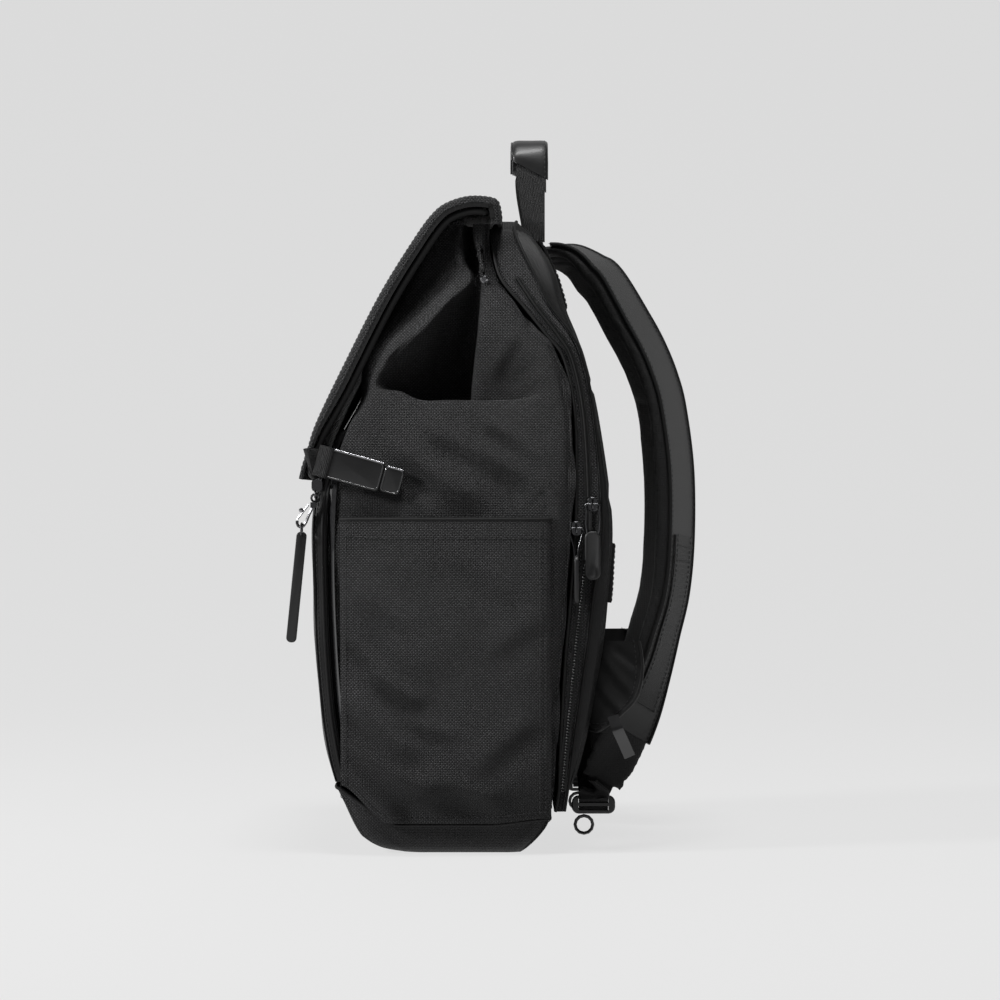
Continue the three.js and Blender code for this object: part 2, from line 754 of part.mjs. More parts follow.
const webbingArch = arch(
  handleSpan / 2,
  handleTop - gripWall - seatGap,
  handleLow,
  webbingWall,
  webbingWide,
  26,
);
add('handle_webbing', cut(webbingArch.translate(0, handleFront, 0), handleTrim), cloth);

// The sleeve is a closed skin round the webbing, cut on a slant at both ends.
const sleeveOut = gripWall + seatGap;
const sleeveOuter = arch(
  handleSpan / 2 + sleeveOut,
  handleTop,
  handleTop - 52,
  webbingWall + 2 * sleeveOut,
  webbingWide + 2 * sleeveOut,
  27,
).translate(0, handleFront - sleeveOut, 0);
const sleeveHole = arch(
  handleSpan / 2 + seatGap,
  handleTop - gripWall,
  handleLow,
  webbingWall + 2 * seatGap,
  webbingWide + 2 * seatGap,
  26.5,
).translate(0, handleFront - seatGap, 0);
const slant = (side) => box([-40, -60, -60], [40, 60, 0])
  .rotateX(-0.45)
  .translate(side * (handleSpan / 2 + 10), handleFront + webbingWide / 2, handleTop - 30);
add('handle_sleeve', cut(sleeveOuter, sleeveHole, slant(1), slant(-1)), leather);

// Shoulder strap: sections along its run, each with its place, width, thickness and turn.
const strapShares = table(['depth', 'up', 'out', 'wide', 'thick', 'turn'], [
  [0.307, 0.937, 0.179, 0.86, 0.42, 0],
  [0.353, 0.937, 0.181, 0.90, 0.60, 4],
  [0.402, 0.930, 0.184, 0.95, 0.80, 9],
  [0.456, 0.911, 0.188, 1.00, 1.00, 14],
  [0.506, 0.889, 0.194, 1.00, 1.00, 18],
  [0.588, 0.824, 0.205, 1.00, 1.00, 20],
  [0.640, 0.779, 0.215, 1.00, 1.00, 20],
  [0.679, 0.734, 0.225, 1.00, 1.00, 20],
  [0.706, 0.685, 0.234, 1.00, 1.00, 20],
  [0.731, 0.591, 0.247, 1.00, 1.00, 20],
  [0.732, 0.487, 0.259, 1.00, 1.00, 20],
  [0.716, 0.402, 0.266, 1.00, 0.98, 20],
  [0.680, 0.335, 0.275, 0.98, 0.94, 22],
  [0.648, 0.280, 0.283, 0.94, 0.88, 26],
  [0.606, 0.226, 0.295, 0.88, 0.80, 36],
  [0.562, 0.180, 0.309, 0.78, 0.62, 50],
  [0.520, 0.138, 0.320, 0.64, 0.42, 66],
  [0.482, 0.104, 0.324, 0.52, 0.28, 82],
]);
const strapRows = strapShares.map((row) => ({
  centre: new THREE.Vector3(row.out * bagWidth, row.depth * bagDepth, row.up * bagHeight),
  wide: row.wide * strapWide,
  thick: row.thick * strapThick,
  turn: THREE.MathUtils.degToRad(row.turn),
}));
function strapFrame(i) {
  const a = strapRows[Math.max(i - 1, 0)].centre;
  const b = strapRows[Math.min(i + 1, strapRows.length - 1)].centre;
  const along = b.clone().sub(a).normalize();
  const side = new THREE.Vector3(1, 0, 0).addScaledVector(along, -along.x).normalize();
  side.applyAxisAngle(along, strapRows[i].turn);
  return { along, side, face: along.clone().cross(side) };
}
function strapRing(i, across, shift = 0) {
  const { centre, wide, thick } = strapRows[i];
  const { side, face } = strapFrame(i);
  return across.map(([u, v]) => centre.clone()
    .addScaledVector(side, u * wide * 0.5)
    .addScaledVector(face, v * thick * 0.5 + shift)
    .toArray());
}
const strapSection = [
  [0.80, 1],
  [0, 1.06],
  [-0.80, 1],
  [-1, 0.45],
  [-1, -0.45],
  [-0.80, -1],
  [0, -1.06],
  [0.80, -1],
  [1, -0.45],
  [1, 0.45],
];
const strapPad = loft(strapRows.map((_, i) => strapRing(i, strapSection)));
addPair('strap_pad', strapPad, padding);

// A thinner strip is sewn on the outer face, from the chest down to the narrow end.
const onStrip = (row) => row.up > 0.17 && row.up < 0.49;
const stripSection = [[-0.62, -1.02], [0, -1.06], [0.62, -1.02]];
const stripGrid = [];
strapShares.forEach((row, i) => {
  if (onStrip(row)) stripGrid.push(strapRing(i, stripSection, -seatGap - stripWall));
});
addPair('strap_strip', wall(stripGrid, stripWall, false), smoothCloth);

// Lower end: webbing, ladder buckle, the band back to the bag, its wing, thumb loop and ring.
const strapEnd = strapRows.at(-1).centre;
const lockLong = 31;
const lockTall = 13;
const lockThick = 4;
const lockSlot = webbingWall + 2 * seatGap;
const lockBar = (lockTall - 2 * lockSlot) / 3;
const lockSlotZ = (lockBar + lockSlot) / 2;
const endDrop = 9;
const lockCentre = new THREE.Vector3(strapEnd.x, strapEnd.y - 5, strapEnd.z - endDrop - lockTall / 2);
const slotLong = webbingWide + 2 * seatGap;
const lockSlotBox = (z) => box(
  [-lockThick, -slotLong / 2, z - lockSlot / 2],
  [lockThick, slotLong / 2, z + lockSlot / 2],
);
const lock = cut(
  plate(lockLong, lockTall, lockThick, 4, 0.8).rotateX(Math.PI / 2).rotateZ(Math.PI / 2),
  lockSlotBox(lockSlotZ),
  lockSlotBox(-lockSlotZ),
);
addPair('ladder_lock', lock.translate(...lockCentre.toArray()), rubber);

// The strap's webbing goes in at the upper slot, the band from the bag at the lower one.
const bandWall = webbingWall * 0.75;
const bandSide = lockThick / 2 + bandWall / 2 + seatGap;
const endFrame = strapFrame(strapRows.length - 1);
const onEnd = (reach) => strapEnd.clone().addScaledVector(endFrame.along, reach).toArray();
const beside = (side, dy, dz) => [lockCentre.x + side * bandSide, lockCentre.y + dy, lockCentre.z + dz];
function intoSlot(side, slotZ) {
  const stub = box(
    [-bandSide, -webbingWide / 2, -bandWall / 2],
    [bandWall / 2, webbingWide / 2, bandWall / 2],
  );
  return stub.rotateZ(side > 0 ? 0 : Math.PI).translate(...beside(side, 0, slotZ));
}
const lowWebbing = ribbon([
  { at: onEnd(seatGap), side: endFrame.side.toArray(), wide: webbingWide * 0.9 },
  { at: onEnd(2), side: endFrame.side.toArray(), wide: webbingWide * 0.9 },
  { at: beside(1, 1, lockTall / 2 + 2), side: [0, 1, 0], wide: webbingWide },
  { at: beside(1, 0, lockTall / 2), side: [0, 1, 0], wide: webbingWide },
  { at: beside(1, 0, lockSlotZ - bandWall / 2), side: [0, 1, 0], wide: webbingWide },
], bandWall);
addPair('strap_webbing', unite(lowWebbing, intoSlot(1, lockSlotZ)), cloth);

const anchorUp = 0.24 * bagHeight;
const panelBack = (z) => onFace(panelRows, 'back', z);
const anchorAt = (inward, off, drop) => {
  const z = anchorUp - drop;
  return [lockCentre.x - inward, panelBack(z) + off, z];
};
const lastBend = [lockCentre.x - 10, lockCentre.y - 2, lockCentre.z + 19];
const anchorBand = ribbon([
  { at: anchorAt(4, 1.6, 0), side: [1, 0, 0], wide: webbingWide },
  { at: anchorAt(7, 4, 28), side: [1, 0.1, 0], wide: webbingWide },
  { at: anchorAt(14, 8, 50), side: [0.75, 0.6, 0], wide: webbingWide * 0.85 },
  { at: lastBend, side: [0.2, 1, 0], wide: webbingWide * 0.9 },
  { at: beside(-1, 0, lockTall / 2), side: [0, 1, 0], wide: webbingWide },
  { at: beside(-1, 0, -lockSlotZ - bandWall / 2), side: [0, 1, 0], wide: webbingWide },
], bandWall);
addPair('strap_anchor', unite(anchorBand, intoSlot(-1, -lockSlotZ)), cloth);

const ringRadius = 6.2;
const ringWire = 1.3;
const ringDrop = lockTall / 2 + ringRadius + ringWire + seatGap;
const strapRingBody = new THREE.TorusGeometry(ringRadius, ringWire, 5, 12)
  .rotateY(Math.PI / 2)
  .translate(lockCentre.x, lockCentre.y - lockLong * 0.22, lockCentre.z - ringDrop);
addPair('strap_ring', strapRingBody, rubber);

// Wing: a cloth gusset from the bag's lower side out to the strap, piped along its free edge.
const wingShares = table(['up', 'root', 'free', 'out'], [
  [0.326, 0.486, 0.606, 0.400],
  [0.295, 0.476, 0.616, 0.408],
  [0.262, 0.462, 0.612, 0.412],
  [0.236, 0.446, 0.590, 0.414],
  [0.210, 0.432, 0.530, 0.414],
  [0.190, 0.420, 0.470, 0.412],
]);
const wingWall = 2.4;
const wingGrid = wingShares.toReversed().map((row) => {
  const z = row.up * bagHeight;
  const root = onFace(panelRows, 'back', z) + seatGap + 0.6;
  const free = Math.max(row.free * bagDepth, root + 6);
  return [0, 0.25, 0.5, 0.75, 1].map((t) => {
    const x = row.out * bagWidth - 9 * (1 - t) ** 2 - 3 * Math.sin(Math.PI * t);
    return [x, root + (free - root) * t, z];
  });
});
addPair('strap_wing', wall(wingGrid, wingWall, false), smoothCloth);

// Thumb loop: a short folded tab on the strap's narrow part.
const loopAt = [0.414 * bagWidth + 1.25, 0.520 * bagDepth, 0.212 * bagHeight];
const loopWide = 8;
const thumbLoop = ribbon([
  { at: loopAt, side: [0, 0.9, 0.2], wide: loopWide },
  { at: [loopAt[0] + 1.5, loopAt[1] + 3, loopAt[2] - 9], side: [0, 0.95, 0.3], wide: loopWide },
  { at: [loopAt[0] + 1.0, loopAt[1] + 8, loopAt[2] - 20], side: [0, 0.95, 0.3], wide: loopWide },
  { at: [loopAt[0] - 1.5, loopAt[1] + 12, loopAt[2] - 29], side: [0, 0.95, 0.3], wide: loopWide },
], 1.8);
addPair('thumb_loop', thumbLoop, leather);

// Zip tapes along the back compartment's sides and at the front pocket's corners.
const tapeWall = 0.8;
const tapeHalf = 2.6;
const tapeRows = trayRows.filter((row) => row.up > 0.09 * bagHeight && row.up < 0.9 * bagHeight);
const tapeGrid = tapeRows.map((row) => [-1, 0, 1].map((t) => {
  const middle = (row.front + row.back) / 2;
  return [row.half + seatGap + tapeWall, middle + tapeHalf * t, row.up];
}));
addPair('rear_zip', wall(tapeGrid, tapeWall, false), rubber);

const frontTapeGrid = [0.13, 0.217, 0.33, 0.45, 0.56, 0.60].map((share) => {
  const z = share * bagHeight;
  const half = bodySide(at(body, 'up', 'front', z) + frontPocketDeep, z) - cornerFront;
  const front = at(body, 'up', 'front', z) + frontPocketDeep + cornerFront;
  const reach = cornerFront + seatGap + tapeWall + 0.5;
  return [30, 42, 54].map((degrees) => {
    const a = THREE.MathUtils.degToRad(degrees);
    return [half + reach * Math.sin(a), front - reach * Math.cos(a), z];
  });
});
addPair('front_zip', wall(frontTapeGrid, tapeWall, false), rubber);

// Side clasp, fastened: a plate on a stand, its tip, and the webbing that goes under the flap.
const claspY = -0.362 * bagDepth;
const claspZ = 0.591 * bagHeight;
const claspX = bodySide(claspY, claspZ) + claspStand + claspWall / 2;
const lean = THREE.MathUtils.degToRad(-claspLean);
function onClasp(geometry, along) {
  return geometry.rotateX(lean).translate(
    claspX,
    claspY + along * Math.cos(lean),
    claspZ + along * Math.sin(lean),
  );
}
const upright = (geometry) => geometry.rotateX(Math.PI / 2).rotateZ(Math.PI / 2);
addPair('clasp_plate', onClasp(upright(plate(claspLong, claspTall, claspWall, 3, 0.7)), 0), leather);
const tipAlong = claspLong / 2 + 2 * seatGap + claspTip / 2;
const tipPlate = upright(plate(claspTip, claspTall * 0.88, claspWall * 0.9, 3, 0.7));
addPair('clasp_tip', onClasp(tipPlate, tipAlong), leather);
const standDeep = claspStand - 2.2 * seatGap - 1;
const claspStandBlock = box([-standDeep / 2, -12, -6], [standDeep / 2, 12, 6])
  .translate(-claspWall / 2 - seatGap - standDeep / 2, 0, 0);
addPair('clasp_stand', onClasp(claspStandBlock, claspLong / 2), rubber);

const claspLead = claspY - (claspLong / 2 + seatGap) * Math.cos(lean);
const leadZ = claspZ - (claspLong / 2) * Math.sin(lean) - 0.8;
const leadWide = claspTall * 0.86;
const claspWebbing = ribbon([
  { at: [claspX, claspLead - 3.9, leadZ], side: [0, -0.27, 0.96], wide: leadWide },
  { at: [claspX - 4.2, claspLead - 5.7, leadZ], side: [0, -0.27, 0.96], wide: leadWide },
  { at: [claspX - 9, claspLead + 4.6, leadZ], side: [0, 0, 1], wide: leadWide },
  { at: [claspX - 16, claspLead + 5.5, leadZ], side: [0, 0, 1], wide: leadWide },
  { at: [claspX - 40, claspLead - 1.9, leadZ], side: [0, 0.25, 1], wide: leadWide },
], bandWall);
addPair('clasp_webbing', claspWebbing, cloth);

// Snap that pinches the gusset.
const snapZ = 0.882 * bagHeight;
const snapRadius = 2.8;
const snapHigh = 2;
const snapRow = bodyHalf(snapZ, { deep: 1, swell: 1 }).filter((p) => p.y > 0);
const snapSpot = snapRow.reduce((a, b) => (b.x > a.x ? b : a));
const snapTurn = new THREE.LatheGeometry([
  new THREE.Vector2(0, 0),
  new THREE.Vector2(snapRadius, 0),
  new THREE.Vector2(snapRadius, snapHigh * 0.5),
  new THREE.Vector2(snapRadius * 0.6, snapHigh),
  new THREE.Vector2(0, snapHigh),
], 12).rotateZ(-Math.PI / 2);
const snapY = at(tuck, 'up', 'edge', snapZ);
addPair('gusset_snap', snapTurn.translate(snapSpot.x + 3 * seatGap, snapY + 0.5, snapZ), metal);

// Zip sliders: a base with a bridge, standing off along +X. The pull's wire goes under the bridge.
function slider() {
  const base = plate(sliderLong, sliderWide, sliderBase, 2, 0.4, 1).rotateY(Math.PI / 2);
  const reach = sliderLong * 0.34;
  const high = sliderBase / 2 + bridgeClear + wireRadius;
  const bridge = tube([
    [0, 0, -reach],
    [high * 0.75, 0, -reach * 0.95],
    [high, 0, -reach * 0.5],
    [high, 0, reach * 0.5],
    [high * 0.75, 0, reach * 0.95],
    [0, 0, reach],
  ], wireRadius, 7, 5);
  return unite(base, bridge);
}
// The pull hangs from its wire's bar, which is the hinge: Y through the origin here.
const pullDrop = 23;
function pull(turned) {
  const ear = 4.6;
  const low = -pullDrop;
  const tight = turned ? 1.6 : ear;
  const wire = tube([
    [0, -ear, 0], [0, 0, 0], [0, ear, 0], [0, ear, -3],
    [turned ? 2 : 0, tight, low * 0.6], [turned ? 3 : 0, tight * 0.6, low],
    [turned ? 3 : 0, -tight * 0.6, low], [turned ? 2 : 0, -tight, low * 0.6], [0, -ear, -3],
  ], wireRadius, 20, 5, true);
  const grip = upright(plate(pullWide, pullLong, pullThick, 5, 0.7));
  const centre = turned ? [3 + 0.3, 0, low - pullLong / 2 + 4] : [0, 0, low - pullLong / 2 + 4];
  if (turned) grip.rotateZ(Math.PI / 2);
  return unite(wire, grip.translate(...centre));
}
const pullPlaces = table(['name', 'up', 'shift', 'turned'], [
  ['rear', 0.537, 3.4, false],
  ['low', 0.500, -8, true],
]);
for (const place of pullPlaces) {
  const z = place.up * bagHeight;
  const row = (name) => onFace(trayRows, name, z);
  // The rear slider runs on the tape, the low one beside it on the tray.
  const seat = place.turned ? seatGap : 2 * seatGap + tapeWall;
  const x = row('half') + seat + sliderBase / 2;
  const y = (row('front') + row('back')) / 2 + place.shift;
  const station = new THREE.Group();
  station.position.set(x, y, z);
  bag.add(station);
  add(`slider_${place.name}`, slider(), metal, station);
  const hinge = new THREE.Group();
  hinge.position.set(sliderBase / 2 + bridgeClear / 2, 0, 0);
  station.add(hinge);
  add(`pull_${place.name}`, pull(place.turned), rubber, hinge);
}

// Key hook on the front pocket's zip slider: hook, spring gate, ring and leather fob.
const keyY = -0.470 * bagDepth;
const keyZ = 0.566 * bagHeight;
const holderThick = 3.4;
const key = new THREE.Group();
const pocketSide = Math.max(...pocketRows.map((row) => row.half));
const keyX = pocketSide + seatGap + holderThick / 2;
key.position.set(keyX, keyY, keyZ);
bag.add(key);
const eyeRadius = 2.7;
const runY = -0.5 * hookLong;
const eyeDrop = 6.3 + eyeRadius;
const holderBlock = plate(9, 8, holderThick, 2, 0.5, 1).rotateY(Math.PI / 2);
const holderWire = 0.8;
const holderLoop = new THREE.TorusGeometry(2.6, holderWire, 5, 12).rotateX(Math.PI / 2);
const lug = box([onFace(pocketRows, 'half', keyZ - 2) + seatGap - keyX, 0, -2], [0, 3.5, 3.5]);
add('key_holder', unite(holderBlock, holderLoop.translate(0, -1.4, -6.2), lug), metal, key);

// The hook lies in the Y and Z plane; its eye links through the holder's loop.
const hookTop = [0, -1.4, -eyeDrop];
const eye = new THREE.TorusGeometry(eyeRadius, hookWire * 0.75, 5, 12)
  .rotateY(Math.PI / 2)
  .translate(...hookTop);
const spine = tube([
  [0, hookTop[1] - 0.6, hookTop[2] - eyeRadius],
  [0, runY * 0.24, hookTop[2] - hookLong * 0.24],
  [0, runY * 0.52, hookTop[2] - hookLong * 0.52],
  [0, runY * 0.78, hookTop[2] - hookLong * 0.82],
  [0, runY * 1.02, hookTop[2] - hookLong * 0.93],
  [0, runY * 1.26, hookTop[2] - hookLong * 0.86],
  [0, runY * 1.28, hookTop[2] - hookLong * 0.72],
], hookWire, 14, 6);
const cheek = box([-1.7, -1.6, -2.6], [1.7, 2.2, 1.2])
  .translate(0, hookTop[1] - 1.8, hookTop[2] - eyeRadius - 1.4);
const gateRadius = hookWire * 0.75;
const gateTop = [0, hookTop[1] - 4.8, hookTop[2] - eyeRadius - 2.2];
const gateEnd = [0, runY * 1.28 - 0.1, hookTop[2] - hookLong * 0.72 + seatGap + 0.5];
add('hook_body', unite(eye, spine, cheek), metal, key);

const gateHinge = new THREE.Group();
gateHinge.position.set(...gateTop);
key.add(gateHinge);
const gateRun = [0, gateEnd[1] - gateTop[1], gateEnd[2] - gateTop[2]];
const gateMiddle = [0, gateRun[1] * 0.5, gateRun[2] * 0.5];
const gateLever = tube([[0, 0, 0], gateMiddle, gateRun], gateRadius, 4, 6);
const thumb = new THREE.SphereGeometry(1.7, 8, 6)
  .translate(0, gateRun[1] * 0.42 - 1.8, gateRun[2] * 0.42 + 0.6);
add('hook_gate', unite(gateLever, thumb), metal, gateHinge);

const linkRadius = 4.4;
const linkWire = 0.8;
const linkY = runY * 1.0;
const linkZ = hookTop[2] - hookLong * 0.93 + hookWire + 2 * linkWire - linkRadius;
const link = new THREE.TorusGeometry(linkRadius, linkWire, 5, 12).rotateX(Math.PI / 2);
add('key_ring', link.translate(0, linkY, linkZ), metal, key);

const fobHole = 1.8;
const fobTop = linkZ - linkRadius;
const fobPlate = upright(plate(fobWide, fobLong, fobWall, 3, 0.4));
const fobBlank = fobPlate.translate(0, 0, fobHole * 1.6 - fobLong / 2);
const punch = new THREE.CylinderGeometry(fobHole, fobHole, 3 * fobWall, 10).rotateZ(Math.PI / 2);
const fob = cut(fobBlank, punch).rotateX(-0.1).translate(0, linkY, fobTop);
add('key_fob', fob, leather, key);

export default bag;
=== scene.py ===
import json
import math
import bpy
import numpy as np
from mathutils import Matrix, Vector


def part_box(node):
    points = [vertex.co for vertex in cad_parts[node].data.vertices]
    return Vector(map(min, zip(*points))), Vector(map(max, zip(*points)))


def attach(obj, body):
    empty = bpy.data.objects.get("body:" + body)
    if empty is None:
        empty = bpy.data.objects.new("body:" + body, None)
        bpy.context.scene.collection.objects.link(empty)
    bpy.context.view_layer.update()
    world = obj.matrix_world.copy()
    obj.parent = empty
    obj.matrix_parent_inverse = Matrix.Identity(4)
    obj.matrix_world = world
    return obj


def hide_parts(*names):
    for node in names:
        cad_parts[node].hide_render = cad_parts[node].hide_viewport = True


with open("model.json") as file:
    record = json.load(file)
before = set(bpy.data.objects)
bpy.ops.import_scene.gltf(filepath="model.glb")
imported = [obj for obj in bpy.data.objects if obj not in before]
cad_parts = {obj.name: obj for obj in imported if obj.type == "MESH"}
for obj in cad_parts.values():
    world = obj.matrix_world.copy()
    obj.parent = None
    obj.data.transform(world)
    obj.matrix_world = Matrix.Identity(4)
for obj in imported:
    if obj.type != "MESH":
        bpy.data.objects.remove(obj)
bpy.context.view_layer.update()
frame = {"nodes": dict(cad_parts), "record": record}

print("frame loaded")

# ---- small helpers

def table(columns, rows):
    return [dict(zip(columns, row)) for row in rows]


# value of a column at a height, on a smooth curve through the rows
def at(rows, name, up):
    last = len(rows) - 1
    if up <= rows[0]["up"]:
        return rows[0][name]
    if up >= rows[last]["up"]:
        return rows[last][name]
    i = 0
    while rows[i + 1]["up"] < up:
        i += 1

    def slope(k):
        a = max(k - 1, 0)
        b = min(k + 1, last)
        return (rows[b][name] - rows[a][name]) / (rows[b]["up"] - rows[a]["up"])

    span = rows[i + 1]["up"] - rows[i]["up"]
    t = (up - rows[i]["up"]) / span
    p, q = rows[i][name], rows[i + 1][name]
    h = 3 * t * t - 2 * t ** 3
    return p + (q - p) * h + slope(i) * span * (t - 2 * t * t + t ** 3) + slope(i + 1) * span * (t ** 3 - t * t)


def ease(t):
    c = min(max(t, 0.0), 1.0)
    return c * c * (3 - 2 * c)


def easeAll(t):
    c = np.clip(t, 0.0, 1.0)
    return c * c * (3 - 2 * c)


# a grid of control points becomes a fine one, smooth along the given axis
def refine(grid, steps, axis, closed=False):
    g = np.moveaxis(np.asarray(grid, float), axis, 0)
    n = len(g)

    def pick(i):
        return g[i % n] if closed else g[min(max(i, 0), n - 1)]

    fine = []
    for i in range(n if closed else n - 1):
        a, b, c, d = pick(i - 1), pick(i), pick(i + 1), pick(i + 2)
        for k in range(steps):
            t = k / steps
            fine.append(0.5 * (2 * b + (c - a) * t + (2 * a - 5 * b + 4 * c - d) * t * t
                               + (3 * b - a - 3 * c + d) * t ** 3))
    if not closed:
        fine.append(g[-1])
    return np.moveaxis(np.array(fine), 0, axis)


def fineLine(points, steps, closed=False):
    return refine(np.asarray(points, float)[:, None], steps, 0, closed)[:, 0]


# rings become a fine net, first round and then along
def net(rings, around, along):
    return refine(refine(rings, around, 1, True), along, 0)


def looped(line):
    return np.concatenate([line, line[:1]])


def unit(v):
    return v / np.maximum(np.linalg.norm(v, axis=-1, keepdims=True), 1e-12)


# outward normals of a grid, rows along the first axis
def gridNormals(grid, around):
    along = np.roll(grid, -1, 1) - np.roll(grid, 1, 1)
    if not around:
        along[:, 0] = grid[:, 1] - grid[:, 0]
        along[:, -1] = grid[:, -1] - grid[:, -2]
    up = np.empty_like(grid)
    up[1:-1] = grid[2:] - grid[:-2]
    up[0] = grid[1] - grid[0]
    up[-1] = grid[-1] - grid[-2]
    return unit(np.cross(along, up))


def quads(rows, cols, around):
    reach = cols if around else cols - 1
    i, j = np.meshgrid(np.arange(rows - 1), np.arange(reach), indexing="ij")
    a = i * cols + j
    b = i * cols + (j + 1) % cols
    return np.stack([a, b, b + cols, a + cols], -1).reshape(-1, 4)


# cloth lengths along a grid, in metres, for the weave
def lengths(grid, around):
    g = np.concatenate([grid, grid[:, :1]], 1) if around else grid
    across, along = [np.cumsum(np.linalg.norm(np.diff(g, axis=axis), axis=-1), axis) for axis in (1, 0)]
    u = np.concatenate([np.zeros((len(g), 1)), across], 1)
    v = np.concatenate([np.zeros((1, g.shape[1])), along], 0)
    return np.stack([u + 1.0, v + 1.0], -1)


def quadUvs(uv):
    return np.stack([uv[:-1, :-1], uv[:-1, 1:], uv[1:, 1:], uv[1:, :-1]], 2).reshape(-1, 4, 2)


# the coarse cloth is laid on square, by the side that each face looks to
def squareUvs(points, faces):
    p = points[faces]
    normal = unit(np.cross(p[:, 2] - p[:, 0], p[:, 3] - p[:, 1]))
    side = (np.abs(normal[:, 0]) > 0.6)[:, None, None]
    level = (np.abs(normal[:, 2]) > 0.85)[:, None, None]
    return np.where(side, p[..., [1, 2]], np.where(level, p[..., [0, 1]], p[..., [0, 2]])) + 1.0


def makeMesh(name, points, faces, uvs, look, sharp=0.9):
    mesh = bpy.data.meshes.new(name)
    mesh.from_pydata([tuple(p) for p in np.asarray(points).tolist()], [], [tuple(f) for f in faces])
    if uvs is not None:
        layer = mesh.uv_layers.new(name="UVMap")
        layer.data.foreach_set("uv", np.asarray(uvs, float).ravel())
    mesh.materials.append(look)
    mesh.polygons.foreach_set("use_smooth", [True] * len(mesh.polygons))
    mesh.set_sharp_from_angle(angle=sharp)
    piece = bpy.data.objects.new(name, mesh)
    bpy.context.scene.collection.objects.link(piece)
    return piece


def signedVolume(points, faces):
    p = points[faces]
    total = np.einsum("ij,ij->i", p[:, 0], np.cross(p[:, 1], p[:, 2])).sum()
    return total + np.einsum("ij,ij->i", p[:, 0], np.cross(p[:, 2], p[:, 3])).sum()


coarse = ("wovenCloth", "pocketCloth")


# cloth with two faces and closed edges; the grid is its outer face
def skin(name, grid, thick, look, around=False):
    grid = np.asarray(grid, float)
    rows, cols = grid.shape[:2]
    normals = gridNormals(grid, around)
    if around:
        normals[0, :, 2] = 0
        normals[-1, :, 2] = 0
        normals = unit(normals)
    inner = grid - normals * thick
    far = rows * cols
    points = np.concatenate([grid.reshape(-1, 3), inner.reshape(-1, 3)])
    face = quads(rows, cols, around)
    uv = quadUvs(lengths(grid, around))
    faces = [face, face[:, ::-1] + far]
    uvs = [uv, uv[:, ::-1]]
    reach = cols if around else cols - 1
    j = np.arange(reach)
    k = (j + 1) % cols
    top = (rows - 1) * cols
    edges = [np.stack([j, j + far, k + far, k], -1),
             np.stack([top + j, top + k, far + top + k, far + top + j], -1)]
    if not around:
        i = np.arange(rows - 1) * cols
        edges.append(np.stack([i, i + cols, i + cols + far, i + far], -1))
        m = i + cols - 1
        edges.append(np.stack([m, m + far, m + cols + far, m + cols], -1))
    for edge in edges:
        faces.append(edge)
        uvs.append(points[edge][:, :, 1:] + 1.0)
    faces = np.concatenate(faces)
    uvs = np.concatenate(uvs)
    if signedVolume(points, faces) < 0:
        faces, uvs = faces[:, ::-1], uvs[:, ::-1]
    if look.name in coarse:
        uvs = squareUvs(points, faces)
    return makeMesh(name, points, faces.tolist(), uvs, look)


# a closed solid through rings of equal length
def loft(name, rings, look, sharp=0.9):
    grid = np.asarray(rings, float)
    rows, cols = grid.shape[:2]
    points = grid.reshape(-1, 3)
    faces = quads(rows, cols, True)
    uvs = quadUvs(lengths(grid, True))
    flip = signedVolume(points, faces) < 0
    if flip:
        faces, uvs = faces[:, ::-1], uvs[:, ::-1]
    if look.name in coarse:
        uvs = squareUvs(points, faces)
    first, last = list(range(cols))[::-1], list(range((rows - 1) * cols, rows * cols))
    if flip:
        first, last = first[::-1], last[::-1]
    ends = np.concatenate([points[first][:, :2], points[last][:, :2]]) + 1.0
    return makeMesh(name, points, faces.tolist() + [first, last],
                    np.concatenate([uvs.reshape(-1, 2), ends]), look, sharp)


# soft undulation from a few crossing waves, the same on every run
def wobble(points, scale, seed=0.0):
    p = np.asarray(points) / scale
    x, y, z = p[..., 0], p[..., 1], p[..., 2]
    return (np.sin(1.3 * x + 2.1 * y + 0.7 * z + seed) + np.sin(-1.9 * x + 0.8 * y + 1.7 * z + 2.3 * seed)
            + np.sin(0.6 * x - 1.4 * y + 2.6 * z + 1.1 + seed) + np.sin(2.7 * y - 2.2 * z + 0.4 * seed)) / 4


# a soft waviness along the normals
def waved(grid, scale, seed, high, share=1.0, around=True):
    return grid + gridNormals(grid, around) * (wobble(grid, scale, seed) * high * share)[..., None]


# folds on a side: each runs from one place to another in Y and Z, with its height and width
def creased(grid, folds, direction):
    y, z = grid[..., 1], grid[..., 2]
    lift = np.zeros(y.shape)
    for fold in folds:
        dy, dz = fold["y1"] - fold["y0"], fold["z1"] - fold["z0"]
        run = math.hypot(dy, dz)
        t = ((y - fold["y0"]) * dy + (z - fold["z0"]) * dz) / run ** 2
        off = ((y - fold["y0"]) * dz - (z - fold["z0"]) * dy) / run
        off = off + 0.12 * run * np.sin(3.0 * t + 40 * fold["y0"]) * 0.3
        ends = easeAll(t / 0.3) * easeAll((1 - t) / 0.3)
        sharp = off / fold["wide"]
        lift += fold["high"] * ends * np.exp(-sharp ** 2)
        lift -= 0.5 * fold["high"] * ends * np.exp(-((off - 1.5 * fold["wide"]) / fold["wide"]) ** 2)
    return grid + direction * lift[..., None]


# ---- materials

def put(tree, kind, values=(), **props):
    made = tree.nodes.new(kind)
    for key, value in props.items():
        setattr(made, key, value)
    pairs = values.items() if isinstance(values, dict) else enumerate(values)
    for key, value in pairs:
        if isinstance(value, bpy.types.NodeSocket):
            tree.links.new(value, made.inputs[key])
        elif value is not None:
            made.inputs[key].default_value = value
    return made


def calc(tree, operation, *values):
    return put(tree, "ShaderNodeMath", values, operation=operation).outputs[0]


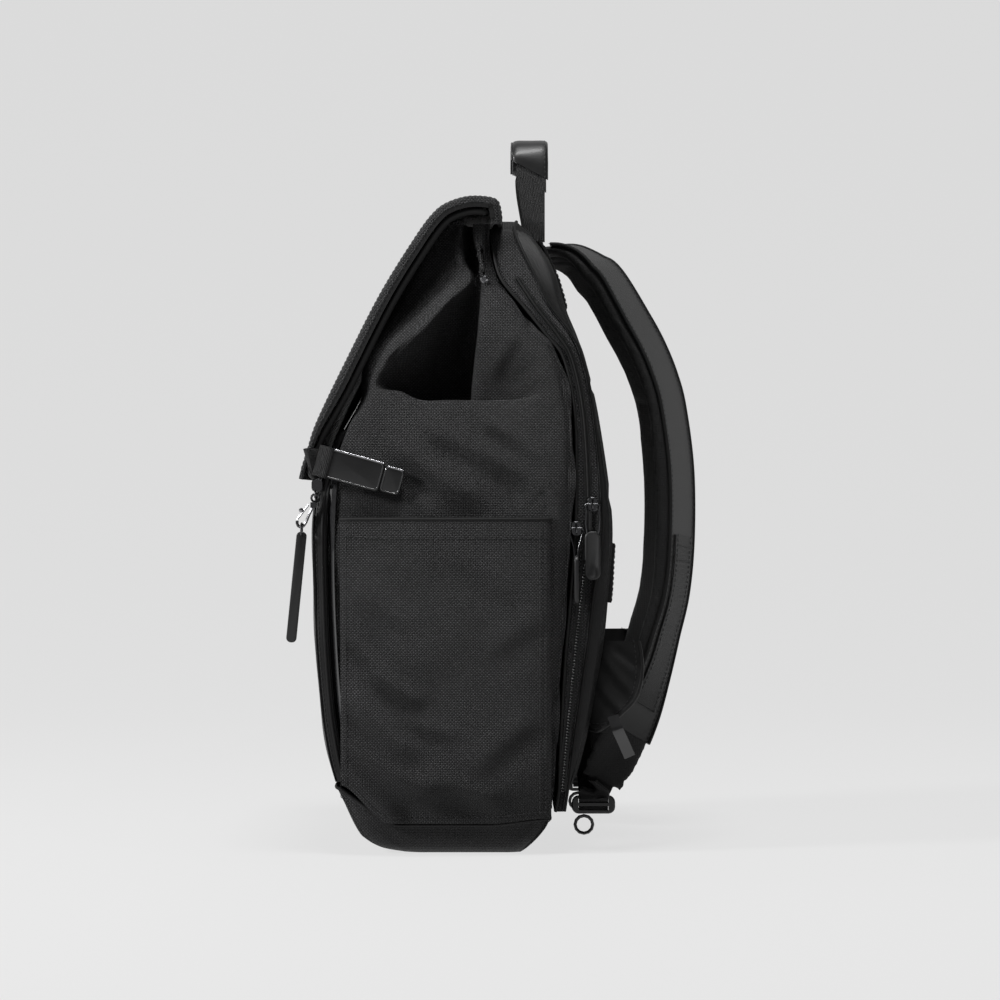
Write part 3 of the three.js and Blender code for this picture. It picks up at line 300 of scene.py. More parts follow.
def newMaterial(name):
    look = bpy.data.materials.new(name)
    look.use_nodes = True
    tree = look.node_tree
    shader = tree.nodes["Principled BSDF"]
    return look, tree, shader


def grey(value, blue=1.04):
    return (value, value, value * blue, 1)


def vector(tree, operation, *values):
    return put(tree, "ShaderNodeVectorMath", values, operation=operation).outputs[0]


def noise(tree, place, scale, detail):
    return put(tree, "ShaderNodeTexNoise", {"Vector": place, "Scale": scale, "Detail": detail}).outputs["Fac"]


# over-and-under threads by cloth lengths: their height, which one is on top, a chance for each crossing
def weave(tree, place, pitch, long):
    scaled = vector(tree, "MULTIPLY", place, (1 / pitch, 1 / (pitch * long), 0))
    part = put(tree, "ShaderNodeSeparateXYZ", [vector(tree, "FRACTION", scaled)])
    cell = vector(tree, "FLOOR", scaled)
    number = put(tree, "ShaderNodeSeparateXYZ", [cell])
    humpU, humpV = [calc(tree, "SINE", calc(tree, "MULTIPLY", part.outputs[k], math.pi)) for k in (0, 1)]
    odd = calc(tree, "FLOORED_MODULO", calc(tree, "ADD", number.outputs[0], number.outputs[1]), 2.0)
    warp, weft = [calc(tree, "MULTIPLY", one, calc(tree, "MULTIPLY_ADD", other, 0.5, 0.5))
                  for one, other in ((humpU, humpV), (humpV, humpU))]
    high = put(tree, "ShaderNodeMix", {0: odd, 2: warp, 3: weft}).outputs[0]
    chance = put(tree, "ShaderNodeTexWhiteNoise", {"Vector": cell}, noise_dimensions="3D").outputs["Value"]
    return high, odd, chance


# a colour between two greys, a bump, and the shader's plain settings
def shade(tree, shader, greys, bump, settings):
    share, dark, light = greys
    colour = put(tree, "ShaderNodeMix", {0: share, 6: grey(dark), 7: grey(light)}, data_type="RGBA")
    relief = put(tree, "ShaderNodeBump", dict(zip(("Strength", "Distance", "Height"), bump)))
    tree.links.new(colour.outputs[2], shader.inputs["Base Color"])
    tree.links.new(relief.outputs[0], shader.inputs["Normal"])
    for key, value in settings.items():
        shader.inputs[key].default_value = value


clothLooks = table(["name", "pitch", "long", "dark", "light", "rough", "sheen", "bump", "worn"], [
    ["wovenCloth", 0.00118, 1.0, 0.0006, 0.0800, 0.62, 0.00, 1.00, 0.30],
    ["pocketCloth", 0.00122, 1.0, 0.0006, 0.0850, 0.62, 0.00, 1.00, 0.34],
    ["smoothCloth", 0.00050, 1.0, 0.0020, 0.0080, 0.52, 0.01, 0.30, 0.20],
    ["linedCloth", 0.00070, 1.0, 0.0016, 0.0060, 0.70, 0.01, 0.30, 0.15],
    ["meshCloth", 0.00170, 0.7, 0.0010, 0.0100, 0.85, 0.03, 0.90, 0.10],
    ["webbing", 0.00120, 0.5, 0.0030, 0.0200, 0.55, 0.03, 0.80, 0.15],
    ["zipTape", 0.00070, 1.0, 0.0020, 0.0100, 0.50, 0.02, 0.40, 0.15],
])


def clothMaterial(row):
    look, tree, shader = newMaterial(row["name"])
    coords = put(tree, "ShaderNodeTexCoord").outputs
    high, odd, chance = weave(tree, coords["UV"], row["pitch"], row["long"])
    broad = noise(tree, coords["Object"], 22.0, 4.0)
    fine = noise(tree, coords["Object"], 900.0, 2.0)
    tone = calc(tree, "MULTIPLY", calc(tree, "POWER", high, 1.6), calc(tree, "MULTIPLY_ADD", chance, 0.6, 0.5))
    tone = calc(tree, "MULTIPLY", tone, calc(tree, "MULTIPLY_ADD", odd, 0.88, 0.12))
    # broad random patches of lighter and darker tone across the cloth
    tone = calc(tree, "MULTIPLY_ADD", calc(tree, "SUBTRACT", broad, 0.5), row["worn"], tone)
    relief = calc(tree, "MULTIPLY_ADD", fine, 0.35, high)
    shade(tree, shader, (tone, row["dark"], row["light"]), (row["bump"], row["pitch"] * 0.45, relief), {
        "Roughness": row["rough"], "Sheen Weight": row["sheen"], "Sheen Roughness": 0.4,
        "Specular IOR Level": 0.35})
    return look


solidLooks = table(["name", "color", "metal", "rough", "coat", "grain", "bump"], [
    ["coatedLeather", 0.0080, 0.0, 0.44, 0.05, 900.0, 0.20],
    ["leatherEdge", 0.0300, 0.0, 0.14, 0.80, 500.0, 0.05],
    ["darkMetal", 0.0700, 1.0, 0.22, 0.20, 1500.0, 0.05],
    ["brightMetal", 0.3200, 1.0, 0.18, 0.10, 1500.0, 0.03],
    ["rubber", 0.0100, 0.0, 0.42, 0.00, 1200.0, 0.15],
    ["mouldedPlastic", 0.0110, 0.0, 0.38, 0.00, 1800.0, 0.12],
    ["zipTooth", 0.0160, 0.0, 0.24, 0.30, 900.0, 0.05],
    ["thread", 0.0220, 0.0, 0.55, 0.00, 2500.0, 0.30],
])


def solidMaterial(row):
    look, tree, shader = newMaterial(row["name"])
    coords = put(tree, "ShaderNodeTexCoord").outputs["Object"]
    grain = noise(tree, coords, row["grain"], 3.0)
    broad = noise(tree, coords, 45.0, 3.0)
    rough = calc(tree, "MULTIPLY_ADD", broad, 0.16, row["rough"] - 0.08)
    tree.links.new(rough, shader.inputs["Roughness"])
    shade(tree, shader, (broad, row["color"] * 0.8, row["color"] * 1.2), (row["bump"], 0.0003, grain),
          {"Metallic": row["metal"], "Coat Weight": row["coat"]})
    return look


# mesh over foam: it doesn't need cloth lengths, so it also suits a remeshed pad
def padMaterial():
    look, tree, shader = newMaterial("padCloth")
    coords = put(tree, "ShaderNodeTexCoord").outputs["Object"]
    holes = {"Vector": coords, "Scale": 620.0, "Randomness": 0.25}
    cells = put(tree, "ShaderNodeTexVoronoi", holes).outputs["Distance"]
    broad = noise(tree, coords, 30.0, 4.0)
    tone = calc(tree, "MULTIPLY_ADD", cells, 0.8, calc(tree, "MULTIPLY", broad, 0.3))
    shade(tree, shader, (tone, 0.0012, 0.0055), (0.7, 0.0005, cells), {"Roughness": 0.85, "Sheen Weight": 0.02})
    return look


looks = {row["name"]: clothMaterial(row) for row in clothLooks}
looks["padCloth"] = padMaterial()
looks.update({row["name"]: solidMaterial(row) for row in solidLooks})
print("materials made")

# ---- repeats along a path: stitches, zip teeth, piping

def pathMesh(name, paths):
    points, edges = [], []
    for path in paths:
        start = len(points)
        points += [tuple(map(float, p)) for p in path]
        edges += [(start + i, start + i + 1) for i in range(len(path) - 1)]
    mesh = bpy.data.meshes.new(name)
    mesh.from_pydata(points, edges, [])
    piece = bpy.data.objects.new(name, mesh)
    bpy.context.scene.collection.objects.link(piece)
    return piece


# a new tree: what it's given, and its edges as a curve with points at even steps
def newTree(name, step, sockets):
    tree = bpy.data.node_groups.new(name, "GeometryNodeTree")
    for label, kind in [("Geometry", "Geometry")] + sockets:
        tree.interface.new_socket(label, in_out="INPUT", socket_type="NodeSocket" + kind)
    tree.interface.new_socket("Geometry", in_out="OUTPUT", socket_type="NodeSocketGeometry")
    given = put(tree, "NodeGroupInput").outputs
    curve = put(tree, "GeometryNodeMeshToCurve", [given["Geometry"]]).outputs[0]
    even = {"Curve": curve, "Length": given[step]}
    return tree, given, put(tree, "GeometryNodeResampleCurve", even, mode="LENGTH").outputs[0]


def endTree(tree, shape, look):
    smooth = put(tree, "GeometryNodeSetShadeSmooth", [shape]).outputs[0]
    done = put(tree, "GeometryNodeSetMaterial", {"Geometry": smooth, "Material": look}).outputs[0]
    put(tree, "NodeGroupOutput", [done])
    return tree


def repeatTree():
    tree, given, even = newTree("repeatAlong", "Spacing", [
        ("Spacing", "Float"), ("Size", "Vector"), ("Facing", "Vector"), ("Look", "Material")])
    ball = put(tree, "GeometryNodeMeshUVSphere", {"Segments": 8, "Rings": 5, "Radius": 0.5}).outputs[0]
    sized = put(tree, "GeometryNodeTransform", {"Geometry": ball, "Scale": given["Size"]}).outputs[0]
    tangent = put(tree, "GeometryNodeInputTangent").outputs[0]
    align = "FunctionNodeAlignRotationToVector"
    turn = put(tree, align, {"Vector": tangent}, axis="Z").outputs[0]
    turn = put(tree, align, {"Rotation": turn, "Vector": given["Facing"]}, axis="X", pivot_axis="Z").outputs[0]
    many = {"Points": even, "Instance": sized, "Rotation": turn}
    real = put(tree, "GeometryNodeRealizeInstances", [put(tree, "GeometryNodeInstanceOnPoints", many).outputs[0]])
    return endTree(tree, real.outputs[0], given["Look"])


def pipeTree():
    tree, given, even = newTree("pipeAlong", "Step", [("Radius", "Float"), ("Step", "Float"), ("Look", "Material")])
    ring = {"Resolution": 10, "Radius": given["Radius"]}
    ring = put(tree, "GeometryNodeCurvePrimitiveCircle", ring).outputs[0]
    tube = {"Curve": even, "Profile Curve": ring, "Fill Caps": True}
    return endTree(tree, put(tree, "GeometryNodeCurveToMesh", tube).outputs[0], given["Look"])


trees = {"repeat": repeatTree(), "pipe": pipeTree()}


def grown(name, paths, kind, values, body="bag"):
    source = pathMesh(name + "Path", paths)
    tree = trees[kind]
    modifier = source.modifiers.new("grow", "NODES")
    modifier.node_group = tree
    for item in tree.interface.items_tree:
        if item.in_out == "INPUT" and item.name in values:
            modifier[item.identifier] = values[item.name]
    bpy.context.view_layer.update()
    evaluated = source.evaluated_get(bpy.context.evaluated_depsgraph_get())
    mesh = bpy.data.meshes.new_from_object(evaluated)
    piece = bpy.data.objects.new(name, mesh)
    bpy.context.scene.collection.objects.link(piece)
    bpy.data.objects.remove(source)
    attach(piece, body)
    return piece


def stitches(name, paths, facing=(1, 0, 0), long=0.0026, spacing=0.0036, thick=0.0006, look="thread"):
    piece = grown(name, paths, "repeat", {
        "Spacing": spacing, "Size": (thick * 0.8, thick, long), "Facing": facing, "Look": looks[look]})
    return piece


def pipe(name, paths, radius, look, step=0.003):
    piece = grown(name, paths, "pipe", {"Radius": radius, "Step": step, "Look": looks[look]})
    return piece


# a path lying on a fine grid, lifted off it
def onGrid(grid, row=None, col=None, lift=0.0003, span=None):
    normals = gridNormals(grid, False)
    line = grid[row] + normals[row] * lift if row is not None else grid[:, col] + normals[:, col] * lift
    return line[span[0]:span[1]] if span else line


def mirrorPath(path):
    return np.asarray(path) * np.array([-1, 1, 1])


def both(*paths):
    return [side for path in paths for side in (path, mirrorPath(path))]


# a shape for the right side and its mirror image for the left one, each with its name's ending
def eachSide(shape):
    shape = np.asarray(shape)
    return [(name, shape * np.array([sign, 1, 1])) for name, sign in (("right", 1), ("left", -1))]


def place(piece, slot, *nodes, body="bag"):
    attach(piece, body)
    if nodes:
        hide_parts(*nodes)
    return piece

# ---- the bag's main sizes and outline

# the cloth's front lies behind the front pocket's face by the pocket's stand
bag = {"high": 0.460, "deep": 0.210, "wide": 0.290, "gap": 0.0003, "cornerFront": 0.013, "cornerBack": 0.009,
       "stand": 0.010}


def scaled(rows, deep=(), wide=()):
    made = []
    for row in rows:
        new = dict(row)
        new["up"] = row["up"] * bag["high"]
        for name in deep:
            new[name] = row[name] * bag["deep"]
        for name in wide:
            new[name] = row[name] * bag["wide"]
        made.append(new)
    return made


body = scaled(table(["up", "front", "back", "half", "fill"], [
    [0.000, -0.190, 0.212, 0.386, 0.000],
    [0.008, -0.262, 0.232, 0.414, 0.000],
    [0.022, -0.314, 0.262, 0.434, 0.000],
    [0.045, -0.350, 0.300, 0.450, 0.000],
    [0.070, -0.374, 0.316, 0.460, 0.000],
    [0.108, -0.412, 0.324, 0.470, 0.000],
    [0.217, -0.457, 0.332, 0.481, 0.000],
    [0.391, -0.481, 0.362, 0.489, 0.000],
    [0.560, -0.476, 0.384, 0.491, 0.000],
    [0.652, -0.419, 0.380, 0.486, 0.000],
    [0.700, -0.381, 0.371, 0.482, 0.000],
    [0.730, -0.352, 0.358, 0.479, 0.040],
    [0.774, -0.286, 0.318, 0.474, 0.094],
    [0.804, -0.224, 0.254, 0.466, 0.122],
    [0.846, -0.138, 0.190, 0.452, 0.160],
    [0.880, -0.100, 0.138, 0.434, 0.156],
    [0.930, -0.100, 0.108, 0.412, 0.085],
    [0.968, -0.078, 0.104, 0.408, 0.045],
]), ["front", "back", "fill"], ["half"])

# the side tucks in above the shelf: a ridge in front, a valley, and the rear leaf's edge
tuck = scaled(table(["up", "ridge", "valley", "edge", "sink", "lip"], [
    [0.000, -0.080, 0.030, 0.052, 0.000, 0.000],
    [0.022, -0.160, 0.030, 0.052, 0.000, 0.000],
    [0.080, -0.230, 0.030, 0.052, 0.000, 0.000],
    [0.217, -0.276, 0.030, 0.052, 0.000, 0.000],
    [0.700, -0.276, 0.030, 0.052, 0.145, 0.010],
    [0.730, -0.276, 0.032, 0.054, 0.160, 0.010],
    [0.774, -0.186, 0.044, 0.062, 0.152, 0.012],
    [0.804, -0.122, 0.054, 0.070, 0.130, 0.014],
    [0.846, -0.034, 0.064, 0.080, 0.092, 0.016],
    [0.880, 0.036, 0.060, 0.084, 0.040, 0.014],
    [0.904, 0.020, 0.052, 0.080, 0.070, 0.010],
    [0.940, 0.012, 0.048, 0.078, 0.086, 0.008],
    [0.968, 0.008, 0.046, 0.074, 0.088, 0.008],
]), ["ridge", "valley", "edge"], ["sink", "lip"])


def sideBulge(y, front, back, swell):
    u = 2 * (y - (front + back) / 2) / (back - front)
    return swell * max(0.0, 1 - u * u)


def seamHeight(y):
    fall = 0.060 * (1 - ease((y + 0.40 * bag["deep"]) / (0.17 * bag["deep"])))
    climb = 0.008 * ease((y - 0.1 * bag["deep"]) / (0.2 * bag["deep"]))
    return bag["high"] * (0.046 + fall + climb)


def sideX(y, z):
    return at(body, "half", z) + sideBulge(y, at(body, "front", z), at(body, "back", z), 0.002)


# half of a ring round the body, from the middle of the front to the middle of the back
def bodyHalf(z, inset=0.0, deep=0.0, swell=0.002, sit=bag["stand"]):
    front, back, half = at(body, "front", z) + sit, at(body, "back", z), at(body, "half", z)
    ridge, valley, edge = (at(tuck, name, z) for name in ("ridge", "valley", "edge"))
    sink, lip = at(tuck, "sink", z) * deep, at(tuck, "lip", z) * deep
    points = []

    def mark(x, y, weight):
        points.append([x - inset * weight, y, weight])

    def side(y):
        return half + sideBulge(y, front, back, swell)

    cf, cb = bag["cornerFront"], bag["cornerBack"]
    fill = max(0.0, at(body, "fill", z))
    for i in range(2):
        mark((half - cf) * i / 2, front - fill * (1 - 0.2 * i), 0)
    for i in range(3):
        a = math.pi / 4 * i
        mark(half - cf + cf * math.sin(a) - 0.35 * fill, front + cf * (1 - math.cos(a)) - 0.78 * fill, 0.1 * i)
    start = front + cf
    mark(side((start + ridge) / 2) - 0.12 * fill, (start - 0.6 * fill + ridge) / 2, 0.35)
    mark(side(ridge) - lip * 0.3, ridge, 0.8)
    for i in range(1, 5):
        y = ridge + (valley - ridge) * i / 4
        mark(side(y) - lip * 0.3 - (sink - lip * 0.3) * ease(i / 4) ** 0.8, y, 1)
    mark(side(edge) - lip - (sink - lip) * 0.35, valley + (edge - valley) * 0.5, 1)
    mark(side(edge) - lip * 0.8, edge, 1)
    end = back - cb
    for i in range(1, 5):
        y = edge + (end - edge) * i / 5
        mark(side(y), y, 1 - ease((i - 2.4) / 2.2))
    for i in range(3):
        a = math.pi / 4 * i
        mark(half - cb + cb * math.cos(a), back - cb + cb * math.sin(a), 0)
    for i in (1, 0):
        mark((half - cb) * i / 2, back, 0)
    return points


# the shelf hangs a little in its middle and climbs to both ends
def shelfRise(y, z):
    climb = 0.014 * ease((-0.022 - y) / 0.038) + 0.016 * ease((y - 0.052) / 0.024)
    return climb * ease((z - 0.290) / 0.028) * ease((0.400 - z) / 0.060)


def bodyRing(z, height=None, **options):
    right = bodyHalf(z, **options)
    left = [[-x, y, w] for x, y, w in right[-2:0:-1]]
    return [[x, y, (height(w) if height else z) + min(w, 1) * shelfRise(y, z)]
            for x, y, w in right + left]


# the ring along the seam between boot and body
def rimRing(lift, sit):
    z = 0.075 * bag["high"]
    ring = []
    for x, y, _ in bodyRing(z, sit=sit):
        seam = seamHeight(y)
        end = "front" if y < 0 else "back"
        wide = at(body, "half", seam) / at(body, "half", z)
        deep = at(body, end, seam) / at(body, end, z)
        lap = 0.0015 * (1 - ease((y + 0.24 * bag["deep"]) / (0.1 * bag["deep"]))) if sit > 0 else 0
        ring.append([x * wide, y * deep, seam + lift + lap])
    return ring


# ---- base: a boot of heavy cloth with a turned seam

baseForm = {"wall": 0.0026, "board": 0.005}
baseRings = [bodyRing(0.0, swell=0, sit=0)]
baseRings += [bodyRing(share * bag["high"], swell=0.001, sit=0) for share in (0.008, 0.022, 0.040)]
baseRings.append(rimRing(-bag["gap"], 0))
baseGrid = net(baseRings, 5, 7)
baseGrid[:8, :, 2] = np.maximum(baseGrid[:8, :, 2], 0.0)
baseDent = wobble(baseGrid, 0.021, 1.3) * 0.0009 * easeAll((baseGrid[..., 2] - 0.004) / 0.01)
baseDent *= easeAll((seamHeight(0.0) + 0.02 - baseGrid[..., 2]) / 0.01)
baseGrid = baseGrid + unit(baseGrid * np.array([1, 1, 0])) * baseDent[..., None]
hollowGrid = baseGrid.copy()
hollowGrid[..., 0] *= 1 - 2 * baseForm["wall"] / 0.26
hollowGrid[..., 1] *= 1 - 2.6 * baseForm["wall"] / 0.21
steps = np.linspace(1, 0, len(baseGrid))[:, None]
hollowGrid[..., 2] += baseForm["board"] * steps
base = loft("baseBoot", np.concatenate([baseGrid, hollowGrid[::-1]]), looks["wovenCloth"], 0.7)
place(base, "woven_cloth", "base")

# ---- body: the sleeve of cloth between the boot and the mouth

bodyForm = {"wall": 0.0026, "shelf": table(["up", "inset", "drop", "deep"], [
    [0.664, 0.0000, 0.000, 0.00],
    [0.684, 0.0012, 0.001, 0.00],
    [0.699, 0.0046, 0.004, 0.00],
    [0.707, 0.0088, 0.014, 0.10],
    [0.716, 0.0112, 0.030, 0.35],
    [0.727, 0.0115, 0.034, 0.80],
    [0.744, 0.0092, 0.022, 1.00],
    [0.776, 0.0040, 0.004, 1.00],
])}
bodyRows = [rimRing(0, bag["stand"])]
bodyRows += [bodyRing(share * bag["high"]) for share in (0.125, 0.217, 0.34, 0.47, 0.572, 0.640)]
for row in bodyForm["shelf"]:
    z, drop = row["up"] * bag["high"], row["drop"] * bag["high"]
    bodyRows.append(bodyRing(z, inset=row["inset"], deep=row["deep"],
                             height=lambda w, z=z, drop=drop: z - drop * w))
for share in (0.804, 0.846, 0.880, 0.910, 0.940, 0.968):
    bodyRows.append(bodyRing(share * bag["high"], deep=1, swell=0.001))
bodyGrid = net(bodyRows, 5, 6)

# folds on the sides: long slants below the shelf, creases in the tuck, a pinch by the snap
sideFolds = table(["y0", "z0", "y1", "z1", "high", "wide"], [
    [-0.060, 0.304, 0.034, 0.240, 0.0040, 0.0100],
    [-0.030, 0.310, 0.062, 0.256, 0.0034, 0.0080],
    [-0.076, 0.286, -0.002, 0.236, 0.0024, 0.0070],
    [0.010, 0.310, 0.070, 0.272, 0.0026, 0.0060],
    [0.054, 0.272, 0.075, 0.246, 0.0024, 0.0036],
    [0.046, 0.262, 0.072, 0.238, 0.0018, 0.0030],
    [0.060, 0.256, 0.076, 0.236, 0.0014, 0.0024],
    [-0.086, 0.300, -0.048, 0.262, 0.0016, 0.0050],
    [-0.066, 0.330, 0.010, 0.410, 0.0034, 0.0044],
    [-0.020, 0.342, 0.004, 0.398, -0.0020, 0.0050],
    [-0.030, 0.342, -0.012, 0.376, 0.0022, 0.0055],
    [0.020, 0.330, 0.044, 0.374, 0.0012, 0.0060],
    [0.034, 0.326, 0.060, 0.352, -0.0011, 0.0050],
    [0.001, 0.440, 0.006, 0.410, -0.0018, 0.0022],
    [-0.006, 0.440, 0.000, 0.412, 0.0016, 0.0028],
])
# the lip's front end runs out softly
lipEnd = {"y": -0.060, "z": 0.326, "deep": 0.014, "high": 0.020, "rounds": 60}
calm = np.exp(-((bodyGrid[..., 1] - lipEnd["y"]) / lipEnd["deep"]) ** 4
              - ((bodyGrid[..., 2] - lipEnd["z"]) / lipEnd["high"]) ** 4)[..., None]
for _ in range(lipEnd["rounds"]):
    near = (np.roll(bodyGrid, 1, 1) + np.roll(bodyGrid, -1, 1)) / 4
    near[1:-1] += (bodyGrid[2:] + bodyGrid[:-2]) / 4
    near[0], near[-1] = bodyGrid[0], bodyGrid[-1]
    bodyGrid = bodyGrid + (near - bodyGrid) * calm * 0.9
outward = np.zeros_like(bodyGrid)
outward[..., 0] = np.sign(bodyGrid[..., 0]) * easeAll((np.abs(bodyGrid[..., 0]) - 0.045) / 0.03)
bodyGrid = creased(bodyGrid, sideFolds, outward)
soft = easeAll((bodyGrid[..., 2] - 0.05) / 0.03) * easeAll((0.446 - bodyGrid[..., 2]) / 0.02)
bodyGrid = waved(bodyGrid, 0.024, 0.4, 0.0011, soft)
bodyCloth = skin("bodyCloth", bodyGrid, bodyForm["wall"], looks["wovenCloth"], True)
place(bodyCloth, "woven_cloth", "body")
print("base and body made")

# the turned seam between boot and body, with its stitches
seamLine = baseGrid[-1] + np.array([0, 0, 0.0004])
pipe("bootSeam", [looped(seamLine) * np.array([1.004, 1.004, 1])], 0.0011, "linedCloth")
lower = baseGrid[-3] * np.array([1.004, 1.005, 1])
upper = bodyGrid[2] + gridNormals(bodyGrid, True)[2] * 0.0003
stitches("seamStitches", [looped(lower), looped(upper)])


# ---- slabs with rounded sections: front pocket, back compartment, back panel

def slab(rows, radiusFront, radiusBack, bulge=0.0, across=3):
    rings = []
    for row in rows:
        front, back, half = row["front"], row["back"], row["half"]
        rf, rb = [min(radius, (back - front) * 0.48) for radius in (radiusFront, radiusBack)]
        angles = (0, math.pi / 4, math.pi / 2)
        right = [[(half - rf) * i / across, front - bulge * (1 - (i / across) ** 2)] for i in range(across)]
        right += [[half - rf + rf * math.sin(a), front + rf * (1 - math.cos(a))] for a in angles]
        right += [[half - rb + rb * math.cos(a), back - rb + rb * math.sin(a)] for a in angles]
        right += [[(half - rb) * i / across, back] for i in range(across - 1, -1, -1)]
        left = [[-x, y] for x, y in right[-2:0:-1]]
        rings.append([[x, y, row["up"]] for x, y in right + left])
    return rings


# the columns are those of its grid where stitches and a bound seam run up its corner
pocketForm = {"bulge": 0.005, "radius": 0.008, "stitchCol": 27, "seamCol": 33}
pocketForm["rows"] = table(["up", "stand", "half"], [
    [0.112, 0.95, 0.452],
    [0.150, 1.00, 0.462],
    [0.217, 1.00, 0.469],
    [0.310, 1.00, 0.475],
    [0.391, 1.02, 0.478],
    [0.480, 1.05, 0.479],
    [0.540, 1.00, 0.466],
    [0.572, 0.74, 0.445],
    [0.640, 0.64, 0.436],
    [0.652, 0.45, 0.425],
])
pocketRows = []
for row in pocketForm["rows"]:
    z = row["up"] * bag["high"]
    back = at(body, "front", z) + bag["stand"] - bag["gap"]
    pocketRows.append({"up": z, "front": back - bag["stand"] * row["stand"], "back": back,
                       "half": row["half"] * bag["wide"]})
frontGrid = net(slab(pocketRows, pocketForm["radius"], 0.0015, pocketForm["bulge"]), 6, 7)
facing = easeAll((at(body, "front", 0.2) + 0.012 - frontGrid[..., 1]) / 0.008)
frontGrid = waved(frontGrid, 0.034, 2.2, 0.0011, facing)
frontPocket = loft("frontPocket", frontGrid, looks["smoothCloth"], 0.7)
place(frontPocket, "smooth_cloth", "front_pocket")

cornerLine = frontGrid[4:-8, pocketForm["stitchCol"]] + np.array([0.0004, -0.0002, 0])
rearLine = frontGrid[2:-8, pocketForm["seamCol"]] + np.array([0.0007, 0.0, 0])
pipe("pocketPiping", both(rearLine), 0.0012, "linedCloth")
stitches("pocketStitches", both(cornerLine))

# ---- side pockets

sideForm = {"front": -0.392 * bag["deep"], "back": 0.312 * bag["deep"], "top": 0.236, "deep": 0.007,
            "wall": 0.002, "cols": 72, "rows": 84}


def pocketPoint(t, share):
    y = sideForm["front"] + (sideForm["back"] - sideForm["front"]) * t
    low = seamHeight(y) + 0.0012
    z = low + (sideForm["top"] - low) * share
    rim = math.sin(math.pi * min(max(t, 0.0), 1.0)) ** 0.45 if 0 < t < 1 else 0.0
    rise = 0.16 + 0.84 * ease(share * 5)
    crease = 1 + 0.10 * math.sin(9 * t + 5 * share) * (1 - share)
    return [sideX(y, z) + bag["gap"] + sideForm["wall"] + sideForm["deep"] * rim * rise * crease, y, z]


pocketFolds = table(["y0", "z0", "y1", "z1", "high", "wide"], [
    [-0.080, 0.124, -0.022, 0.064, 0.0046, 0.0095],
    [-0.076, 0.088, -0.004, 0.032, 0.0048, 0.0100],
    [-0.066, 0.138, -0.018, 0.104, 0.0032, 0.0070],
    [-0.086, 0.066, -0.034, 0.024, 0.0032, 0.0070],
    [-0.036, 0.062, 0.038, 0.032, 0.0030, 0.0095],
    [-0.084, 0.210, -0.010, 0.120, 0.0022, 0.0160],
    [0.006, 0.056, 0.060, 0.104, 0.0016, 0.0090],
    [-0.074, 0.194, -0.016, 0.158, 0.0014, 0.0090],
    [-0.014, 0.224, 0.044, 0.176, 0.0012, 0.0100],
    [0.014, 0.136, 0.062, 0.174, 0.0012, 0.0090],
    [-0.082, 0.164, -0.052, 0.130, 0.0020, 0.0055],
    [-0.050, 0.104, 0.006, 0.082, 0.0014, 0.0060],
])
cols, rows = sideForm["cols"], sideForm["rows"]
sideGrid = np.array([[pocketPoint(j / cols, i / rows) for j in range(cols + 1)] for i in range(rows + 1)])
outX = np.zeros_like(sideGrid)
outX[..., 0] = 1
rimFade = easeAll((sideForm["top"] - sideGrid[..., 2]) / 0.02)
bellied = creased(sideGrid, pocketFolds, outX)
bellied[..., 0] += wobble(bellied, 0.030, 3.1) * 0.0007
edgeFade = easeAll(np.linspace(0, 1, cols + 1) / 0.05) * easeAll(np.linspace(1, 0, cols + 1) / 0.05)
sideGrid = sideGrid + (bellied - sideGrid) * (0.25 + 0.75 * rimFade)[..., None] * edgeFade[None, :, None]
for name, grid in eachSide(sideGrid):
    leaf = skin("sidePocket." + name, grid, sideForm["wall"], looks["pocketCloth"])
    place(leaf, "woven_cloth", "side_pocket_" + name)
hemPath = onGrid(sideGrid, row=rows, lift=0.0)
pipe("pocketHems", both(hemPath + np.array([-0.0009, 0, 0.0004])), 0.0014, "linedCloth")
sewn = [onGrid(sideGrid, row=rows - 5, span=(2, cols - 1))]
sewn += [onGrid(sideGrid, col=col, span=(2, rows - 2)) for col in (cols - 2, cols - 4, 2)]
sewn += [onGrid(sideGrid, row=2, span=(2, cols - 1))]
stitches("pocketSideStitches", both(*sewn))
print("pockets made")

# ---- back compartment with its zip, and the padded back panel

backRows = []
for row in table(["up", "inner", "seam", "outer", "half"], [
    [0.066, 0.318, 0.338, 0.352, 0.444],
    [0.098, 0.330, 0.348, 0.382, 0.452],
    [0.174, 0.336, 0.370, 0.428, 0.460],
    [0.304, 0.352, 0.410, 0.481, 0.466],
    [0.391, 0.369, 0.432, 0.502, 0.469],
    [0.510, 0.386, 0.466, 0.518, 0.469],
    [0.665, 0.385, 0.440, 0.474, 0.466],
    [0.757, 0.348, 0.400, 0.424, 0.460],
    [0.796, 0.288, 0.363, 0.398, 0.456],
    [0.841, 0.210, 0.290, 0.358, 0.446],
    [0.885, 0.110, 0.242, 0.330, 0.430],
    [0.935, 0.100, 0.190, 0.282, 0.396],
    [0.962, 0.104, 0.172, 0.240, 0.350],
    [0.978, 0.130, 0.178, 0.208, 0.290],
]):
    z = row["up"] * bag["high"]
    inner = max(row["inner"] * bag["deep"], at(body, "back", z)) + bag["gap"]
    backRows.append({"up": z, "inner": inner, "seam": row["seam"] * bag["deep"],
                     "outer": row["outer"] * bag["deep"], "half": row["half"] * bag["wide"]})
trayRows = [{"up": row["up"], "front": row["inner"] + 0.0006, "back": row["seam"] + 0.003,
             "half": row["half"]} for row in backRows]
panelRows = [{"up": row["up"], "front": row["seam"] + 0.0033, "back": max(row["outer"], row["seam"] + 0.006),
              "half": row["half"] - 0.004} for row in backRows]
trayGrid = waved(net(slab(trayRows, 0.003, 0.003), 4, 7), 0.016, 4.0, 0.0004)
tray = loft("backCompartment", trayGrid, looks["wovenCloth"], 0.7)
place(tray, "woven_cloth", "back_compartment")


